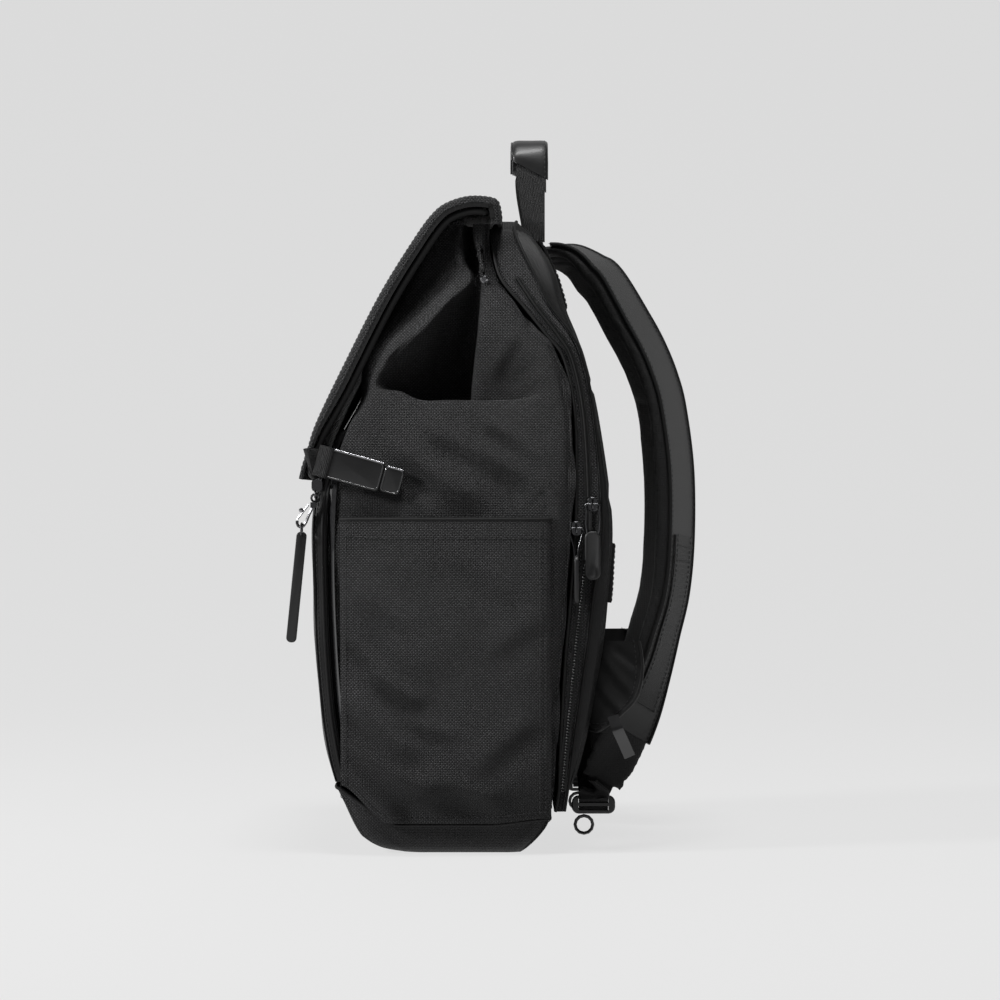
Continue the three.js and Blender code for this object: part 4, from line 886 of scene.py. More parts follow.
def onFace(rows, name, up):
    i = max(1, next((k for k, row in enumerate(rows) if row["up"] >= up), len(rows) - 1))
    t = (up - rows[i - 1]["up"]) / (rows[i]["up"] - rows[i - 1]["up"])
    return rows[i - 1][name] + (rows[i][name] - rows[i - 1][name]) * t


# two padded lobes with a channel between them, and a sewn line round the panel's edge
panelForm = {"swell": 0.0030, "channel": 0.0050, "channelWide": 0.020, "rim": 0.012,
             "bars": (0.115, 0.250, 0.330)}
panelGrid = net(slab(panelRows, 0.001, 0.006, 0.0, 6), 4, 8)
px, pz = panelGrid[..., 0], panelGrid[..., 2]
backFace = np.array([[onFace(panelRows, "back", z) - 0.0035] for z in pz[:, 0]])
rear = easeAll((panelGrid[..., 1] - backFace) / 0.003)
inward = easeAll((0.126 - np.abs(px)) / panelForm["rim"])
inward = inward * easeAll((pz - 0.042) / 0.02) * easeAll((0.436 - pz) / 0.02)
groove = np.exp(-(px / panelForm["channelWide"]) ** 2)
groove = groove * easeAll((pz - 0.07) / 0.03) * easeAll((0.39 - pz) / 0.03)
bars = sum(np.exp(-((pz - level) / 0.004) ** 2) for level in panelForm["bars"])
bars = bars * easeAll((np.abs(px) - 0.02) / 0.02)
lift = panelForm["swell"] * (inward - 0.7) - panelForm["channel"] * groove * 0.6 - 0.0022 * bars * inward
panelGrid[..., 1] += rear * np.minimum(lift, 0.0004)
panel = loft("backPanel", panelGrid, looks["meshCloth"], 0.9)
panel.data.materials.append(looks["smoothCloth"])
for face in panel.data.polygons:
    if abs(face.normal.x) > 0.55 or face.normal.y < -0.3:
        face.material_index = 1
place(panel, "padded_mesh", "back_panel")


def edgeLine(rows, off):
    return fineLine([[row["half"] + 0.0004, row["front"] + off, row["up"]] for row in rows], 6)


pipe("panelPiping", both(edgeLine(panelRows, 0.0005)), 0.0013, "linedCloth")
pipe("compartmentPiping", both(edgeLine(trayRows[:-2], 0.0008)), 0.0011, "linedCloth")

# above the slider the zip is closed, and below it the teeth show
zipForm = {"half": 0.0026, "wall": 0.0008, "tooth": 0.0021, "closedFrom": 0.250, "openTo": 0.232}
tapeRows = [row for row in trayRows if 0.09 * bag["high"] < row["up"] < 0.9 * bag["high"]]


def tapeGrid(rows, shift=0.0, half=zipForm["half"]):
    line = fineLine([[row["half"] + bag["gap"] + zipForm["wall"] + shift, (row["front"] + row["back"]) / 2,
                      row["up"]] for row in rows], 8)
    return np.stack([line + np.array([0, half * t, 0]) for t in (-1, -0.4, -0.14, 0.14, 0.4, 1)], 1)


rearTape = tapeGrid(tapeRows)
rearTape[:, 2:4, 0] -= 0.0004
for name, grid in eachSide(rearTape):
    tape = skin("rearZip." + name, grid, zipForm["wall"] * 0.6, looks["zipTape"])
    place(tape, "zip_tape", "rear_zip_" + name)
toothPath = tapeGrid(tapeRows, 0.0003, 0.0)[:, 0]
closedPath = toothPath[toothPath[:, 2] > zipForm["closedFrom"]]
toothPath = toothPath[toothPath[:, 2] < zipForm["openTo"]]
pipe("closedZip", both(closedPath), 0.0010, "zipTape")
teeth = grown("rearTeeth", both(toothPath), "repeat", {
    "Spacing": zipForm["tooth"], "Size": (0.0012, 0.0030, 0.0013), "Facing": (1, 0, 0), "Look": looks["zipTooth"]})

frontTape = []
for share in (0.13, 0.217, 0.33, 0.45, 0.56, 0.60):
    z = share * bag["high"]
    front = at(body, "front", z) + bag["stand"]
    half = sideX(front, z) - bag["cornerFront"]
    reach = bag["cornerFront"] + bag["gap"] + zipForm["wall"] + 0.0005
    angles = [math.radians(a) for a in (28, 36, 42, 48, 56)]
    middle = front + bag["cornerFront"]
    frontTape.append([[half + reach * math.sin(a), middle - reach * math.cos(a), z] for a in angles])
frontTape = refine(frontTape, 8, 0)
for name, grid in eachSide(frontTape):
    tape = skin("frontZip." + name, grid, zipForm["wall"] * 0.8, looks["leatherEdge"])
    place(tape, "zip_tape", "front_zip_" + name)
print("back and zips made")

# ---- skins on the back panel: the luggage band and the yoke

skinForms = table(["name", "node", "low", "high", "half", "wall", "sewnRows"], [
    ["luggageBand", "luggage_sleeve", 0.177, 0.219, 0.112, 0.003, (2, 4, 17, 19)],
    ["yokePatch", "yoke", 0.842 * bag["high"], 0.948 * bag["high"], 0.34 * bag["wide"], 0.002, (1, 20)],
])
for form in skinForms:
    across = np.linspace(form["half"], -form["half"], 61)
    rows = []
    for z in np.linspace(form["low"], form["high"], 22):
        slope = abs(onFace(panelRows, "back", z + 0.003) - onFace(panelRows, "back", z - 0.003)) / 0.006
        y = onFace(panelRows, "back", z) + (bag["gap"] + form["wall"]) * math.hypot(1, slope)
        rows.append([[x, y, z] for x in across])
    grid = np.array(rows)
    puff = easeAll((form["half"] - np.abs(grid[..., 0])) / 0.01)
    rim = easeAll(np.linspace(0, 1, 22) / 0.2) * easeAll(np.linspace(1, 0, 22) / 0.2)
    grid[..., 1] += (0.0005 + 0.0005 * wobble(grid, 0.02, 5.0)) * puff * rim[:, None]
    band = skin(form["name"], grid, form["wall"] * 0.8, looks["smoothCloth"])
    place(band, "smooth_cloth", form["node"])
    sewn = [onGrid(grid, row=row, span=(2, 59)) for row in form["sewnRows"]]
    sewn += [onGrid(grid, col=col, span=(1, 21)) for col in (1, 3, 57, 59)]
    stitches(form["name"] + "Stitches", sewn, (0, 1, 0))

# ---- flap: one sheet over the top, its sides turned down and bound

flapLine = scaled(table(["depth", "up"], [
    [0.146, 0.966],
    [0.143, 0.988],
    [0.124, 1.006],
    [0.040, 1.010],
    [-0.037, 1.000],
    [-0.088, 0.982],
    [-0.150, 0.943],
    [-0.262, 0.860],
    [-0.380, 0.754],
    [-0.474, 0.664],
    [-0.506, 0.620],
    [-0.528, 0.588],
    [-0.534, 0.576],
]), ["depth"])
flapForm = {"top": 0.130, "tip": 0.139, "curl": 0.008, "wall": 0.003, "piping": 0.0026, "steps": 120}
flapEven = fineLine([[0.0, row["depth"], row["up"]] for row in flapLine], 30)
flapRun = np.concatenate([[0], np.cumsum(np.linalg.norm(np.diff(flapEven, axis=0), axis=1))])
flapRun /= flapRun[-1]


def flapAt(t):
    return np.array([0.0] + [np.interp(t, flapRun, flapEven[:, axis]) for axis in (1, 2)])


def flapPoint(t, u, sink):
    tangent = unit(flapAt(min(t + 0.01, 1)) - flapAt(max(t - 0.01, 0)))
    inward = np.array([0, -tangent[2], tangent[1]])
    half = flapForm["top"] + (flapForm["tip"] - flapForm["top"]) * t
    q = flapAt(t) + inward * sink
    return [half * u, q[1], q[2]]


def curlAt(t):
    return flapForm["curl"] * (1 - 0.6 * ease((t - 0.72) / 0.26))


# places across the flap, each with its share of the turned edge's drop
edgeCurl = [(1, 1), (1, 0.7), (1, 0.42), (0.995, 0.2), (0.98, 0.06), (0.955, 0)]
acrossAll = edgeCurl + [(u, 0) for u in np.linspace(0.92, -0.92, 41)] + [(-u, c) for u, c in edgeCurl[::-1]]


def flapRows(first, last, places):
    rows = []
    for i in range(first, last):
        t = i / flapForm["steps"]
        rows.append([flapPoint(t, u, c * curlAt(t)) for u, c in places])
    return np.array(rows)


flapGrid = flapRows(0, flapForm["steps"] + 1, acrossAll)
flat = easeAll((0.126 - np.abs(flapGrid[..., 0])) / 0.03)
flapGrid = waved(flapGrid, 0.040, 1.9, 0.0008, flat, around=False)
flap = skin("flapCloth", flapGrid, flapForm["wall"], looks["wovenCloth"])
place(flap, "woven_cloth", "flap")

# binding strip along the turned sides, and the piping below them
bindOut = 1 + 0.0007 / flapForm["top"]
bindGrid = flapRows(2, flapForm["steps"] - 1, [(bindOut, c) for c in (1.04, 0.85, 0.62)])
for name, grid in eachSide(bindGrid):
    place(skin("flapBinding." + name, grid, 0.0006, looks["smoothCloth"]), "woven_cloth")
insetU = 1 - (flapForm["piping"] + 0.0005) / flapForm["top"]
below = flapForm["piping"] + 0.0006
sideTube = [flapPoint(t, insetU, curlAt(t) + below) for t in [0.03 + 0.94 * i / 40 for i in range(41)]]
tipTube = [flapPoint(0.985, u, curlAt(1) + below) for u in (0.6, 0.3, 0, -0.3, -0.6)]
wholeTube = fineLine(sideTube + tipTube + [[-x, y, z] for x, y, z in sideTube[::-1]], 3)
piping = pipe("flapPiping", [wholeTube], flapForm["piping"], "linedCloth", 0.004)
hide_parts("flap_piping")
edgeRun = [0.03 + 0.94 * i / 90 for i in range(91)]
edgeSewn = np.array([flapPoint(t, 1 + 0.0012 / flapForm["top"], curlAt(t) * 0.55) for t in edgeRun])
inSewn = np.array([flapPoint(0.02 + 0.95 * i / 90, 0.93, -0.0003) for i in range(91)])
stitches("flapStitches", both(edgeSewn, inSewn))
print("flap made")

# ---- grab handle: webbing bent over, with a leather sleeve

handleForm = {"half": 0.052, "top": 0.514, "web": 0.0024, "wide": 0.021, "front": 0.195 * bag["deep"],
              "grip": 0.0022, "legLow": 0.4375, "cols": 13}


# a round outline with fuller corners: the lower the powers, the squarer it is
def squarish(count, powerAcross, powerThrough):
    points = []
    for a in np.linspace(0, 2 * math.pi, count, endpoint=False):
        c, s = math.cos(a), math.sin(a)
        points.append((np.sign(c) * abs(c) ** powerAcross, np.sign(s) * abs(s) ** powerThrough))
    return points


def archLine(half, top, low, round, legs=14, bend=16, span=14):
    left = [[-half, low + (top - round - low) * i / legs] for i in range(legs)]
    corner = []
    for i in range(bend):
        t = i / bend
        a, b, c = np.array([-half, top - round]), np.array([-half, top]), np.array([round * 1.2 - half, top])
        corner.append(((1 - t) ** 2 * a + 2 * t * (1 - t) * b + t * t * c).tolist())
    middle = [[round * 1.2 - half + (2 * half - 2.4 * round) * i / span, top] for i in range(span + 1)]
    right = [[-x, z] for x, z in (left + corner)[::-1]]
    return left + corner + middle + right


webTop = handleForm["top"] - handleForm["grip"] - bag["gap"]
webGrid = []
for x, z in archLine(handleForm["half"], webTop, handleForm["legLow"], 0.026, legs=24):
    front = handleForm["front"] + 0.006 * ease((0.492 - z) / 0.05)
    wide = handleForm["front"] + handleForm["wide"] - front
    webGrid.append([[x, front + wide * (k / (handleForm["cols"] - 1)), z] for k in range(handleForm["cols"])])
webGrid = np.array(webGrid)
# inside the sleeve it's narrower and lies a little deeper
inSleeve = easeAll((webGrid[..., 2] - handleForm["top"] + 0.022) / 0.006)[..., None]
webMiddle = handleForm["front"] + handleForm["wide"] / 2
webGrid[..., 1:2] += (webMiddle - webGrid[..., 1:2]) * 0.16 * inSleeve
webGrid -= inSleeve * 0.0012 * unit(webGrid * np.array([1, 0, 0]) + np.array([0, 0, 0.02]))
webbing = skin("handleWebbing", webGrid, handleForm["web"] * 0.8, looks["webbing"])
place(webbing, "webbing", "handle_webbing")

# the sleeve is wrapped round the webbing, longer at the back than at the front, with its fold at the front
sleeveOut = handleForm["grip"] + bag["gap"]
gripLine = np.array(archLine(handleForm["half"] + sleeveOut, handleForm["top"], handleForm["top"] - 0.024, 0.0235,
                             legs=6, bend=18, span=16))
gripTangent = unit(np.gradient(gripLine, axis=0))
gripNormal = np.stack([-gripTangent[:, 1], gripTangent[:, 0]], -1)
thick = handleForm["web"] + 2 * sleeveOut
rings = []
front, back = handleForm["front"] - sleeveOut, handleForm["front"] + handleForm["wide"] + sleeveOut
for i, (x, z) in enumerate(gripLine):
    ring = []
    for c, s in squarish(32, 0.35, 0.55):
        y = (front + back) / 2 + (back - front) / 2 * c
        depth = thick / 2 * (1 - s)
        slant = 0.0
        if z < handleForm["top"] - 0.010:
            slant = -(handleForm["top"] - 0.010 - z) * 0.50 * c
        ring.append([x - gripNormal[i, 0] * depth, y, z - gripNormal[i, 1] * depth + slant])
    rings.append(ring)
rings = np.array(rings)
sleeveMiddle = np.array([0, (front + back) / 2, handleForm["top"] - 0.02])
rings = rings + 0.00035 * wobble(rings, 0.007, 0.9)[..., None] * unit(rings - sleeveMiddle)
grip = loft("handleSleeve", rings, looks["coatedLeather"], 0.8)
place(grip, "leather", "handle_sleeve")
foldLine = rings[2:-2, 15] + np.array([0, -0.0004, 0])
pipe("handleFold", [foldLine], 0.0009, "coatedLeather")
handleSewn = [rings[2:-2, 19] + np.array([0, -0.0001, 0]), rings[2:-2, 5] * np.array([1.004, 1, 1])]
stitches("handleStitches", handleSewn, (0, 1, 0))
print("handle made")

# ---- shoulder straps: padded, a smooth face outside, mesh inside, a bound seam between them

strapForm = {"wide": 0.062, "thick": 0.013, "steps": 12}
strapRows = scaled(table(["depth", "up", "out", "wide", "thick", "turn"], [
    [0.307, 0.937, 0.179, 0.86, 0.42, 0],
    [0.353, 0.937, 0.181, 0.90, 0.60, 4],
    [0.402, 0.930, 0.184, 0.95, 0.80, 9],
    [0.456, 0.911, 0.188, 1.00, 1.00, 14],
    [0.506, 0.889, 0.194, 1.00, 1.00, 18],
    [0.588, 0.824, 0.205, 1.00, 1.00, 20],
    [0.640, 0.779, 0.215, 1.00, 1.00, 20],
    [0.679, 0.734, 0.225, 1.00, 1.00, 20],
    [0.706, 0.685, 0.234, 1.00, 1.00, 20],
    [0.731, 0.591, 0.247, 1.00, 1.00, 20],
    [0.732, 0.487, 0.259, 1.00, 1.00, 20],
    [0.716, 0.402, 0.266, 1.00, 0.98, 20],
    [0.680, 0.335, 0.275, 0.98, 0.94, 22],
    [0.648, 0.280, 0.283, 0.94, 0.88, 26],
    [0.606, 0.226, 0.295, 0.88, 0.80, 36],
    [0.562, 0.180, 0.309, 0.78, 0.62, 50],
    [0.520, 0.138, 0.320, 0.64, 0.42, 66],
    [0.482, 0.104, 0.324, 0.52, 0.28, 82],
]), ["depth"], ["out"])
strapFine = fineLine([[row["out"], row["depth"], row["up"], row["wide"] * strapForm["wide"],
                       row["thick"] * strapForm["thick"], math.radians(row["turn"])] for row in strapRows],
                     strapForm["steps"])
centres = strapFine[:, :3]
strapTangent = unit(np.gradient(centres, axis=0))
sideways = unit(np.array([1.0, 0, 0]) - strapTangent * strapTangent[:, :1])
turn = strapFine[:, 5:6]
sideways = sideways * np.cos(turn) + np.cross(strapTangent, sideways) * np.sin(turn)
faceways = np.cross(strapTangent, sideways)


def strapPoint(i, u, v, shift=0.0):
    wide, thick = strapFine[i, 3], strapFine[i, 4]
    return centres[i] + sideways[i] * u * wide / 2 + faceways[i] * (v * thick / 2 + shift)


# swell the pad with Cloth, from a slightly smaller shape, and keep its points near their places
def puffed(source, pressure, cap, voxel=0.0026, frames=20):
    scene = bpy.context.scene
    target = bpy.data.objects.new(source.name + "Soft", source.data.copy())
    scene.collection.objects.link(target)
    remesh = target.modifiers.new("remesh", "REMESH")
    remesh.mode = "VOXEL"
    remesh.voxel_size = voxel
    bpy.context.view_layer.update()
    mesh = bpy.data.meshes.new_from_object(target.evaluated_get(bpy.context.evaluated_depsgraph_get()))
    target.modifiers.remove(remesh)
    target.data = mesh
    start = np.array([v.co[:] for v in mesh.vertices])
    cloth = target.modifiers.new("cloth", "CLOTH")
    cloth.settings.use_pressure = True
    cloth.settings.uniform_pressure_force = pressure
    cloth.settings.effector_weights.gravity = 0
    cloth.settings.quality = 4
    cloth.point_cache.frame_end = frames
    for number in range(1, frames + 1):
        scene.frame_set(number)
    bpy.context.view_layer.update()
    moved = bpy.data.meshes.new_from_object(target.evaluated_get(bpy.context.evaluated_depsgraph_get()))
    target.modifiers.remove(cloth)
    after = np.array([v.co[:] for v in moved.vertices])
    shift = after - start
    far = np.linalg.norm(shift, axis=1, keepdims=True)
    start = start + shift * np.minimum(1, cap / np.maximum(far, 1e-9))
    scene.frame_set(1)
    bpy.data.meshes.remove(moved)
    mesh.vertices.foreach_set("co", start.ravel())
    mesh.update()
    subdivision = target.modifiers.new("smooth", "SUBSURF")
    subdivision.levels = subdivision.render_levels = 1
    bpy.context.view_layer.update()
    target.data = bpy.data.meshes.new_from_object(target.evaluated_get(bpy.context.evaluated_depsgraph_get()))
    target.modifiers.remove(subdivision)
    bpy.data.objects.remove(source)
    target.data.polygons.foreach_set("use_smooth", [True] * len(target.data.polygons))
    return target


padOutline = squarish(40, 0.42, 0.62)
smaller = np.array([[strapPoint(i, u * 0.985, v * 0.86) for u, v in padOutline] for i in range(len(strapFine))])
smaller = np.concatenate([[smaller[0] - strapTangent[0] * 0.005], smaller])
for name, rings in eachSide(smaller):
    pad = loft("strapPad." + name, rings, looks["padCloth"], 1.2)
    soft = puffed(pad, 3.0, 0.0010)
    soft.name = "strapPad." + name
    place(soft, "padded_mesh", "strap_pad_" + name)

smoothRange = range(4, 15 * strapForm["steps"])


def strapLine(u, v, shift):
    return np.array([strapPoint(i, u, v, shift) for i in smoothRange])


faceGrid = np.stack([strapLine(u, -1.0, -0.0010 + 0.0004 * u * u) for u in np.linspace(-0.92, 0.92, 15)], 1)
for name, grid in eachSide(faceGrid):
    face = skin("strapFace." + name, grid, 0.0009, looks["smoothCloth"])
    place(face, "smooth_cloth")
strapEdges = both(strapLine(-0.92, -0.94, -0.0008), strapLine(0.92, -0.94, -0.0008))
pipe("strapPiping", strapEdges, 0.0014, "linedCloth")
strapSewn = both(strapLine(-0.80, -1.0, -0.0012), strapLine(0.80, -1.0, -0.0012))
stitches("strapStitches", strapSewn, (0, 1, 0))

# a narrower strip is sewn on the outer face, from the chest down
stripRange = range(10 * strapForm["steps"], 14 * strapForm["steps"] + 1)
stripGrid = np.array([[strapPoint(i, u, -1.06, -0.0019) for u in np.linspace(-0.62, 0.62, 11)] for i in stripRange])
for name, grid in eachSide(stripGrid):
    strip = skin("strapStrip." + name, grid, 0.0016, looks["webbing"])
    place(strip, "smooth_cloth", "strap_strip_" + name)
stripSewn = [onGrid(stripGrid, col=col) for col in (1, 9)] + [onGrid(stripGrid, row=row) for row in (2, 5)]
stitches("stripStitches", both(*stripSewn), (0, 1, 0))
print("straps made")

# ---- bands of webbing through stations, each with its place, the way its width lies, and its width

def ribbon(stations, thick, steps=8):
    fine = fineLine([list(p) + list(side) + [wide] for p, side, wide in stations], steps)
    middle, wide = fine[:, :3], fine[:, 6:7]
    along = unit(np.gradient(middle, axis=0))
    side = fine[:, 3:6] - along * np.sum(fine[:, 3:6] * along, 1, keepdims=True)
    side = unit(side)
    up = np.cross(along, side)
    return np.stack([middle + side * wide * u + up * thick / 2 for u in np.linspace(0.5, -0.5, 9)], 1)


lockForm = {"centre": (0.094, 0.482 * bag["deep"] - 0.005, 0.104 * bag["high"] - 0.0155), "tall": 0.013,
            "slotUp": 0.00267, "band": 0.0018, "beside": 0.0032, "web": 0.021}
cx, cy, cz = lockForm["centre"]
web, slotUp = lockForm["web"], lockForm["slotUp"]
end, endAlong, endSide = centres[-1], strapTangent[-1], sideways[-1]


def beside(side, dy, dz):
    return (cx + side * lockForm["beside"], cy + dy, cz + dz)


lowBand = ribbon([
    (end - endAlong * 0.003, endSide, 0.019),
    (end + endAlong * 0.002, endSide, 0.019),
    (beside(1, 0.001, lockForm["tall"] / 2 + 0.002), (0, 1, 0), web),
    (beside(1, 0, lockForm["tall"] / 2), (0, 1, 0), web),
    (beside(1, 0, slotUp + 0.001), (0, 1, 0), web),
    (beside(0, 0, slotUp), (0, 1, 0), web),
    (beside(-0.5, 0, slotUp), (0, 1, 0), web),
], lockForm["band"])
anchorUp = 0.24 * bag["high"]


def anchorAt(inward, off, drop):
    z = anchorUp - drop
    return (cx - inward, onFace(panelRows, "back", z) + off, z)


anchorBand = ribbon([
    (anchorAt(0.004, 0.0016, 0.0), (1, 0, 0), web),
    (anchorAt(0.007, 0.004, 0.028), (1, 0.1, 0), web),
    (anchorAt(0.014, 0.008, 0.050), (0.75, 0.6, 0), 0.018),
    ((cx - 0.010, cy - 0.002, cz + 0.019), (0.2, 1, 0), 0.019),
    (beside(-1, 0, lockForm["tall"] / 2), (0, 1, 0), web),
    (beside(-1, 0, -slotUp - 0.001), (0, 1, 0), web),
    (beside(0.4, 0, -slotUp), (0, 1, 0), web),
], lockForm["band"])
for piece, node, shape in (("strapWebbing.", "strap_webbing_", lowBand), ("strapAnchor.", "strap_anchor_", anchorBand)):
    for name, grid in eachSide(shape):
        place(skin(piece + name, grid, lockForm["band"], looks["webbing"]), "webbing", node + name)

# wing: a gusset from the bag's lower side out to the strap, piped along its free edge
wingForm = {"wall": 0.0022, "piping": 0.0015}
wingRows = table(["up", "free", "out"], [
    [0.190, 0.470, 0.412],
    [0.210, 0.530, 0.414],
    [0.236, 0.590, 0.414],
    [0.262, 0.612, 0.412],
    [0.295, 0.616, 0.408],
    [0.326, 0.606, 0.400],
])
wingGrid = []
for row in wingRows:
    z = row["up"] * bag["high"]
    root = onFace(panelRows, "back", z) + 0.0009
    free = max(row["free"] * bag["deep"], root + 0.006)
    line = []
    for t in np.linspace(0, 1, 7):
        x = row["out"] * bag["wide"] - 0.009 * (1 - t) ** 2 - 0.003 * math.sin(math.pi * t)
        line.append([x, root + (free - root) * t, z])
    wingGrid.append(line)
wingGrid = refine(refine(wingGrid, 8, 0), 4, 1)
wingFolds = table(["y0", "z0", "y1", "z1", "high", "wide"], [
    [0.100, 0.145, 0.126, 0.108, 0.0014, 0.0035],
    [0.098, 0.122, 0.122, 0.092, 0.0012, 0.0030],
    [0.108, 0.148, 0.130, 0.128, -0.0012, 0.0030],
])
wingOut = np.zeros_like(wingGrid)
wingOut[..., 0] = 1
wingGrid = creased(wingGrid, wingFolds, wingOut)
for name, grid in eachSide(wingGrid):
    wing = skin("strapWing." + name, grid, wingForm["wall"], looks["linedCloth"])
    place(wing, "smooth_cloth", "strap_wing_" + name)
wingEdge = np.concatenate([onGrid(wingGrid, row=0, lift=-0.001), onGrid(wingGrid, col=-1, lift=-0.001)[1:]])
pipe("wingPiping", both(wingEdge), wingForm["piping"], "webbing")
stitches("wingStitches", both(onGrid(wingGrid, col=-4), onGrid(wingGrid, row=4)))

# thumb loop: a short folded tab, coated and shiny
loopAt = np.array([0.414 * bag["wide"] + 0.00125, 0.520 * bag["deep"], 0.212 * bag["high"]])
loopBand = ribbon([
    (loopAt, (0, 0.9, 0.2), 0.008),
    (loopAt + np.array([0.0015, 0.003, -0.009]), (0, 0.95, 0.3), 0.008),
    (loopAt + np.array([0.0010, 0.008, -0.020]), (0, 0.95, 0.3), 0.008),
    (loopAt + np.array([-0.0015, 0.012, -0.029]), (0, 0.95, 0.3), 0.008),
], 0.0018)
for name, grid in eachSide(loopBand):
    place(skin("thumbLoop." + name, grid, 0.0018, looks["leatherEdge"]), "leather", "thumb_loop_" + name)

# ---- side clasps

claspForm = {"y": -0.362 * bag["deep"], "z": 0.591 * bag["high"], "long": 0.047, "tall": 0.021, "wall": 0.003,
             "tip": 0.014, "lean": math.radians(-15.5), "radius": 0.003, "bevel": 0.0008}
claspX = sideX(claspForm["y"], claspForm["z"]) + 0.004 + claspForm["wall"] / 2


def roundOutline(long, tall, radius, corner=7):
    points = []
    for sx, sy, start in ((1, 1, 0), (-1, 1, 0.5), (-1, -1, 1.0), (1, -1, 1.5)):
        for a in np.linspace(start * math.pi, (start + 0.5) * math.pi, corner):
            points.append([sx * (long / 2 - radius) + radius * math.cos(a),
                           sy * (tall / 2 - radius) + radius * math.sin(a)])
    return np.array(points)


# plate rings through the thickness: its length on Y, its height on Z, its face towards +X
def plateRings(long, tall, wall, radius, bevel, dish=0.0, rim=0.002):
    rings = []
    for off, shrink in ((-wall / 2, bevel), (-wall / 2 + bevel * 0.3, bevel * 0.3), (-wall / 2 + bevel, 0),
                        (wall / 2 - bevel, 0), (wall / 2 - bevel * 0.3, bevel * 0.3), (wall / 2, bevel)):
        flat = roundOutline(long - 2 * shrink, tall - 2 * shrink, radius - shrink * 0.5)
        rings.append([[off, y, z] for y, z in flat])
    if dish:
        for off, shrink in ((wall / 2, rim), (wall / 2 - dish, rim + dish)):
            flat = roundOutline(long - 2 * shrink, tall - 2 * shrink, max(radius - shrink, 0.0006))
            rings.append([[off, y, z] for y, z in flat])
    return np.array(rings)


def onClasp(points, along=0.0):
    c, s = math.cos(claspForm["lean"]), math.sin(claspForm["lean"])
    p = np.asarray(points) + np.array([0, along, 0])
    return np.stack([p[..., 0] + claspX, p[..., 1] * c - p[..., 2] * s + claspForm["y"],
                     p[..., 1] * s + p[..., 2] * c + claspForm["z"]], -1)


plate = onClasp(plateRings(claspForm["long"], claspForm["tall"], claspForm["wall"], claspForm["radius"],
                           claspForm["bevel"]))
tipAt = claspForm["long"] / 2 + 0.0006 + claspForm["tip"] / 2
tipTall, tipWall = claspForm["tall"] * 0.88, claspForm["wall"] * 0.9
tip = onClasp(plateRings(claspForm["tip"], tipTall, tipWall, claspForm["radius"], 0.0007), tipAt)
rimLine = roundOutline(claspForm["long"] - 0.002, claspForm["tall"] - 0.002, 0.0024)
rimPath = onClasp([[claspForm["wall"] / 2 - 0.0002, y, z] for y, z in looped(rimLine)])
tipLine = roundOutline(claspForm["tip"] - 0.0016, tipTall - 0.0016, 0.0024)
tipPath = onClasp([[claspForm["wall"] * 0.45 - 0.0002, y, z] for y, z in looped(tipLine)], tipAt)
pipe("claspRims", both(rimPath, tipPath), 0.00055, "leatherEdge", 0.0012)

# the webbing rolls over the plate's front end
rollRings = []
for z in np.linspace(-0.5, 0.5, 9) * claspForm["tall"] * 1.04:
    ring = [[0.0008 + 0.0026 * math.sin(a), -claspForm["long"] / 2 + 0.0052 + 0.0056 * math.cos(a), z]
            for a in np.linspace(0, 2 * math.pi, 28, endpoint=False)]
    rollRings.append(onClasp(ring))
for name, slot, node, rings, look in (
        ("claspPlate.", "leather", ("clasp_plate_",), plate, "coatedLeather"),
        ("claspTip.", "leather", ("clasp_tip_",), tip, "coatedLeather"),
        ("claspRoll.", "webbing", (), rollRings, "webbing")):
    for end, shape in eachSide(rings):
        place(loft(name + end, shape, looks[look], 1.1), slot, *[start + end for start in node])

# a thin bright metal strip along the upper edges of plate and tip: a painted highlight where the light catches them
top = [[claspForm["wall"] / 2 - 0.0002, y, claspForm["tall"] / 2 - 0.0004]
       for y in np.linspace(-0.021, 0.0225, 30)]
tipHighlightLine = [[claspForm["wall"] * 0.45, y, claspForm["tall"] * 0.44 - 0.0004]
          for y in np.linspace(-0.0056, 0.0056, 12)]
pipe("claspTopEdge", both(onClasp(top), onClasp(tipHighlightLine, tipAt)), 0.0007, "brightMetal", 0.0012)

lead = claspForm["y"] - (claspForm["long"] / 2 + 0.0003) * math.cos(claspForm["lean"])
leadZ = claspForm["z"] - claspForm["long"] / 2 * math.sin(claspForm["lean"]) - 0.0008
leadWide = claspForm["tall"] * 0.86
leadBand = ribbon([
    ((claspX, lead - 0.0039, leadZ), (0, -0.27, 0.96), leadWide),
    ((claspX - 0.0042, lead - 0.0057, leadZ), (0, -0.27, 0.96), leadWide),
    ((claspX - 0.009, lead + 0.0046, leadZ), (0, 0, 1), leadWide),
    ((claspX - 0.016, lead + 0.0055, leadZ), (0, 0, 1), leadWide),
    ((claspX - 0.040, lead - 0.0019, leadZ), (0, 0.25, 1), leadWide),
], 0.0018)
for name, grid in eachSide(leadBand):
    place(skin("claspWebbing." + name, grid, 0.0018, looks["webbing"]), "webbing", "clasp_webbing_" + name)

# ---- zip pulls: a wire bail and a rubber puller with a raised rim

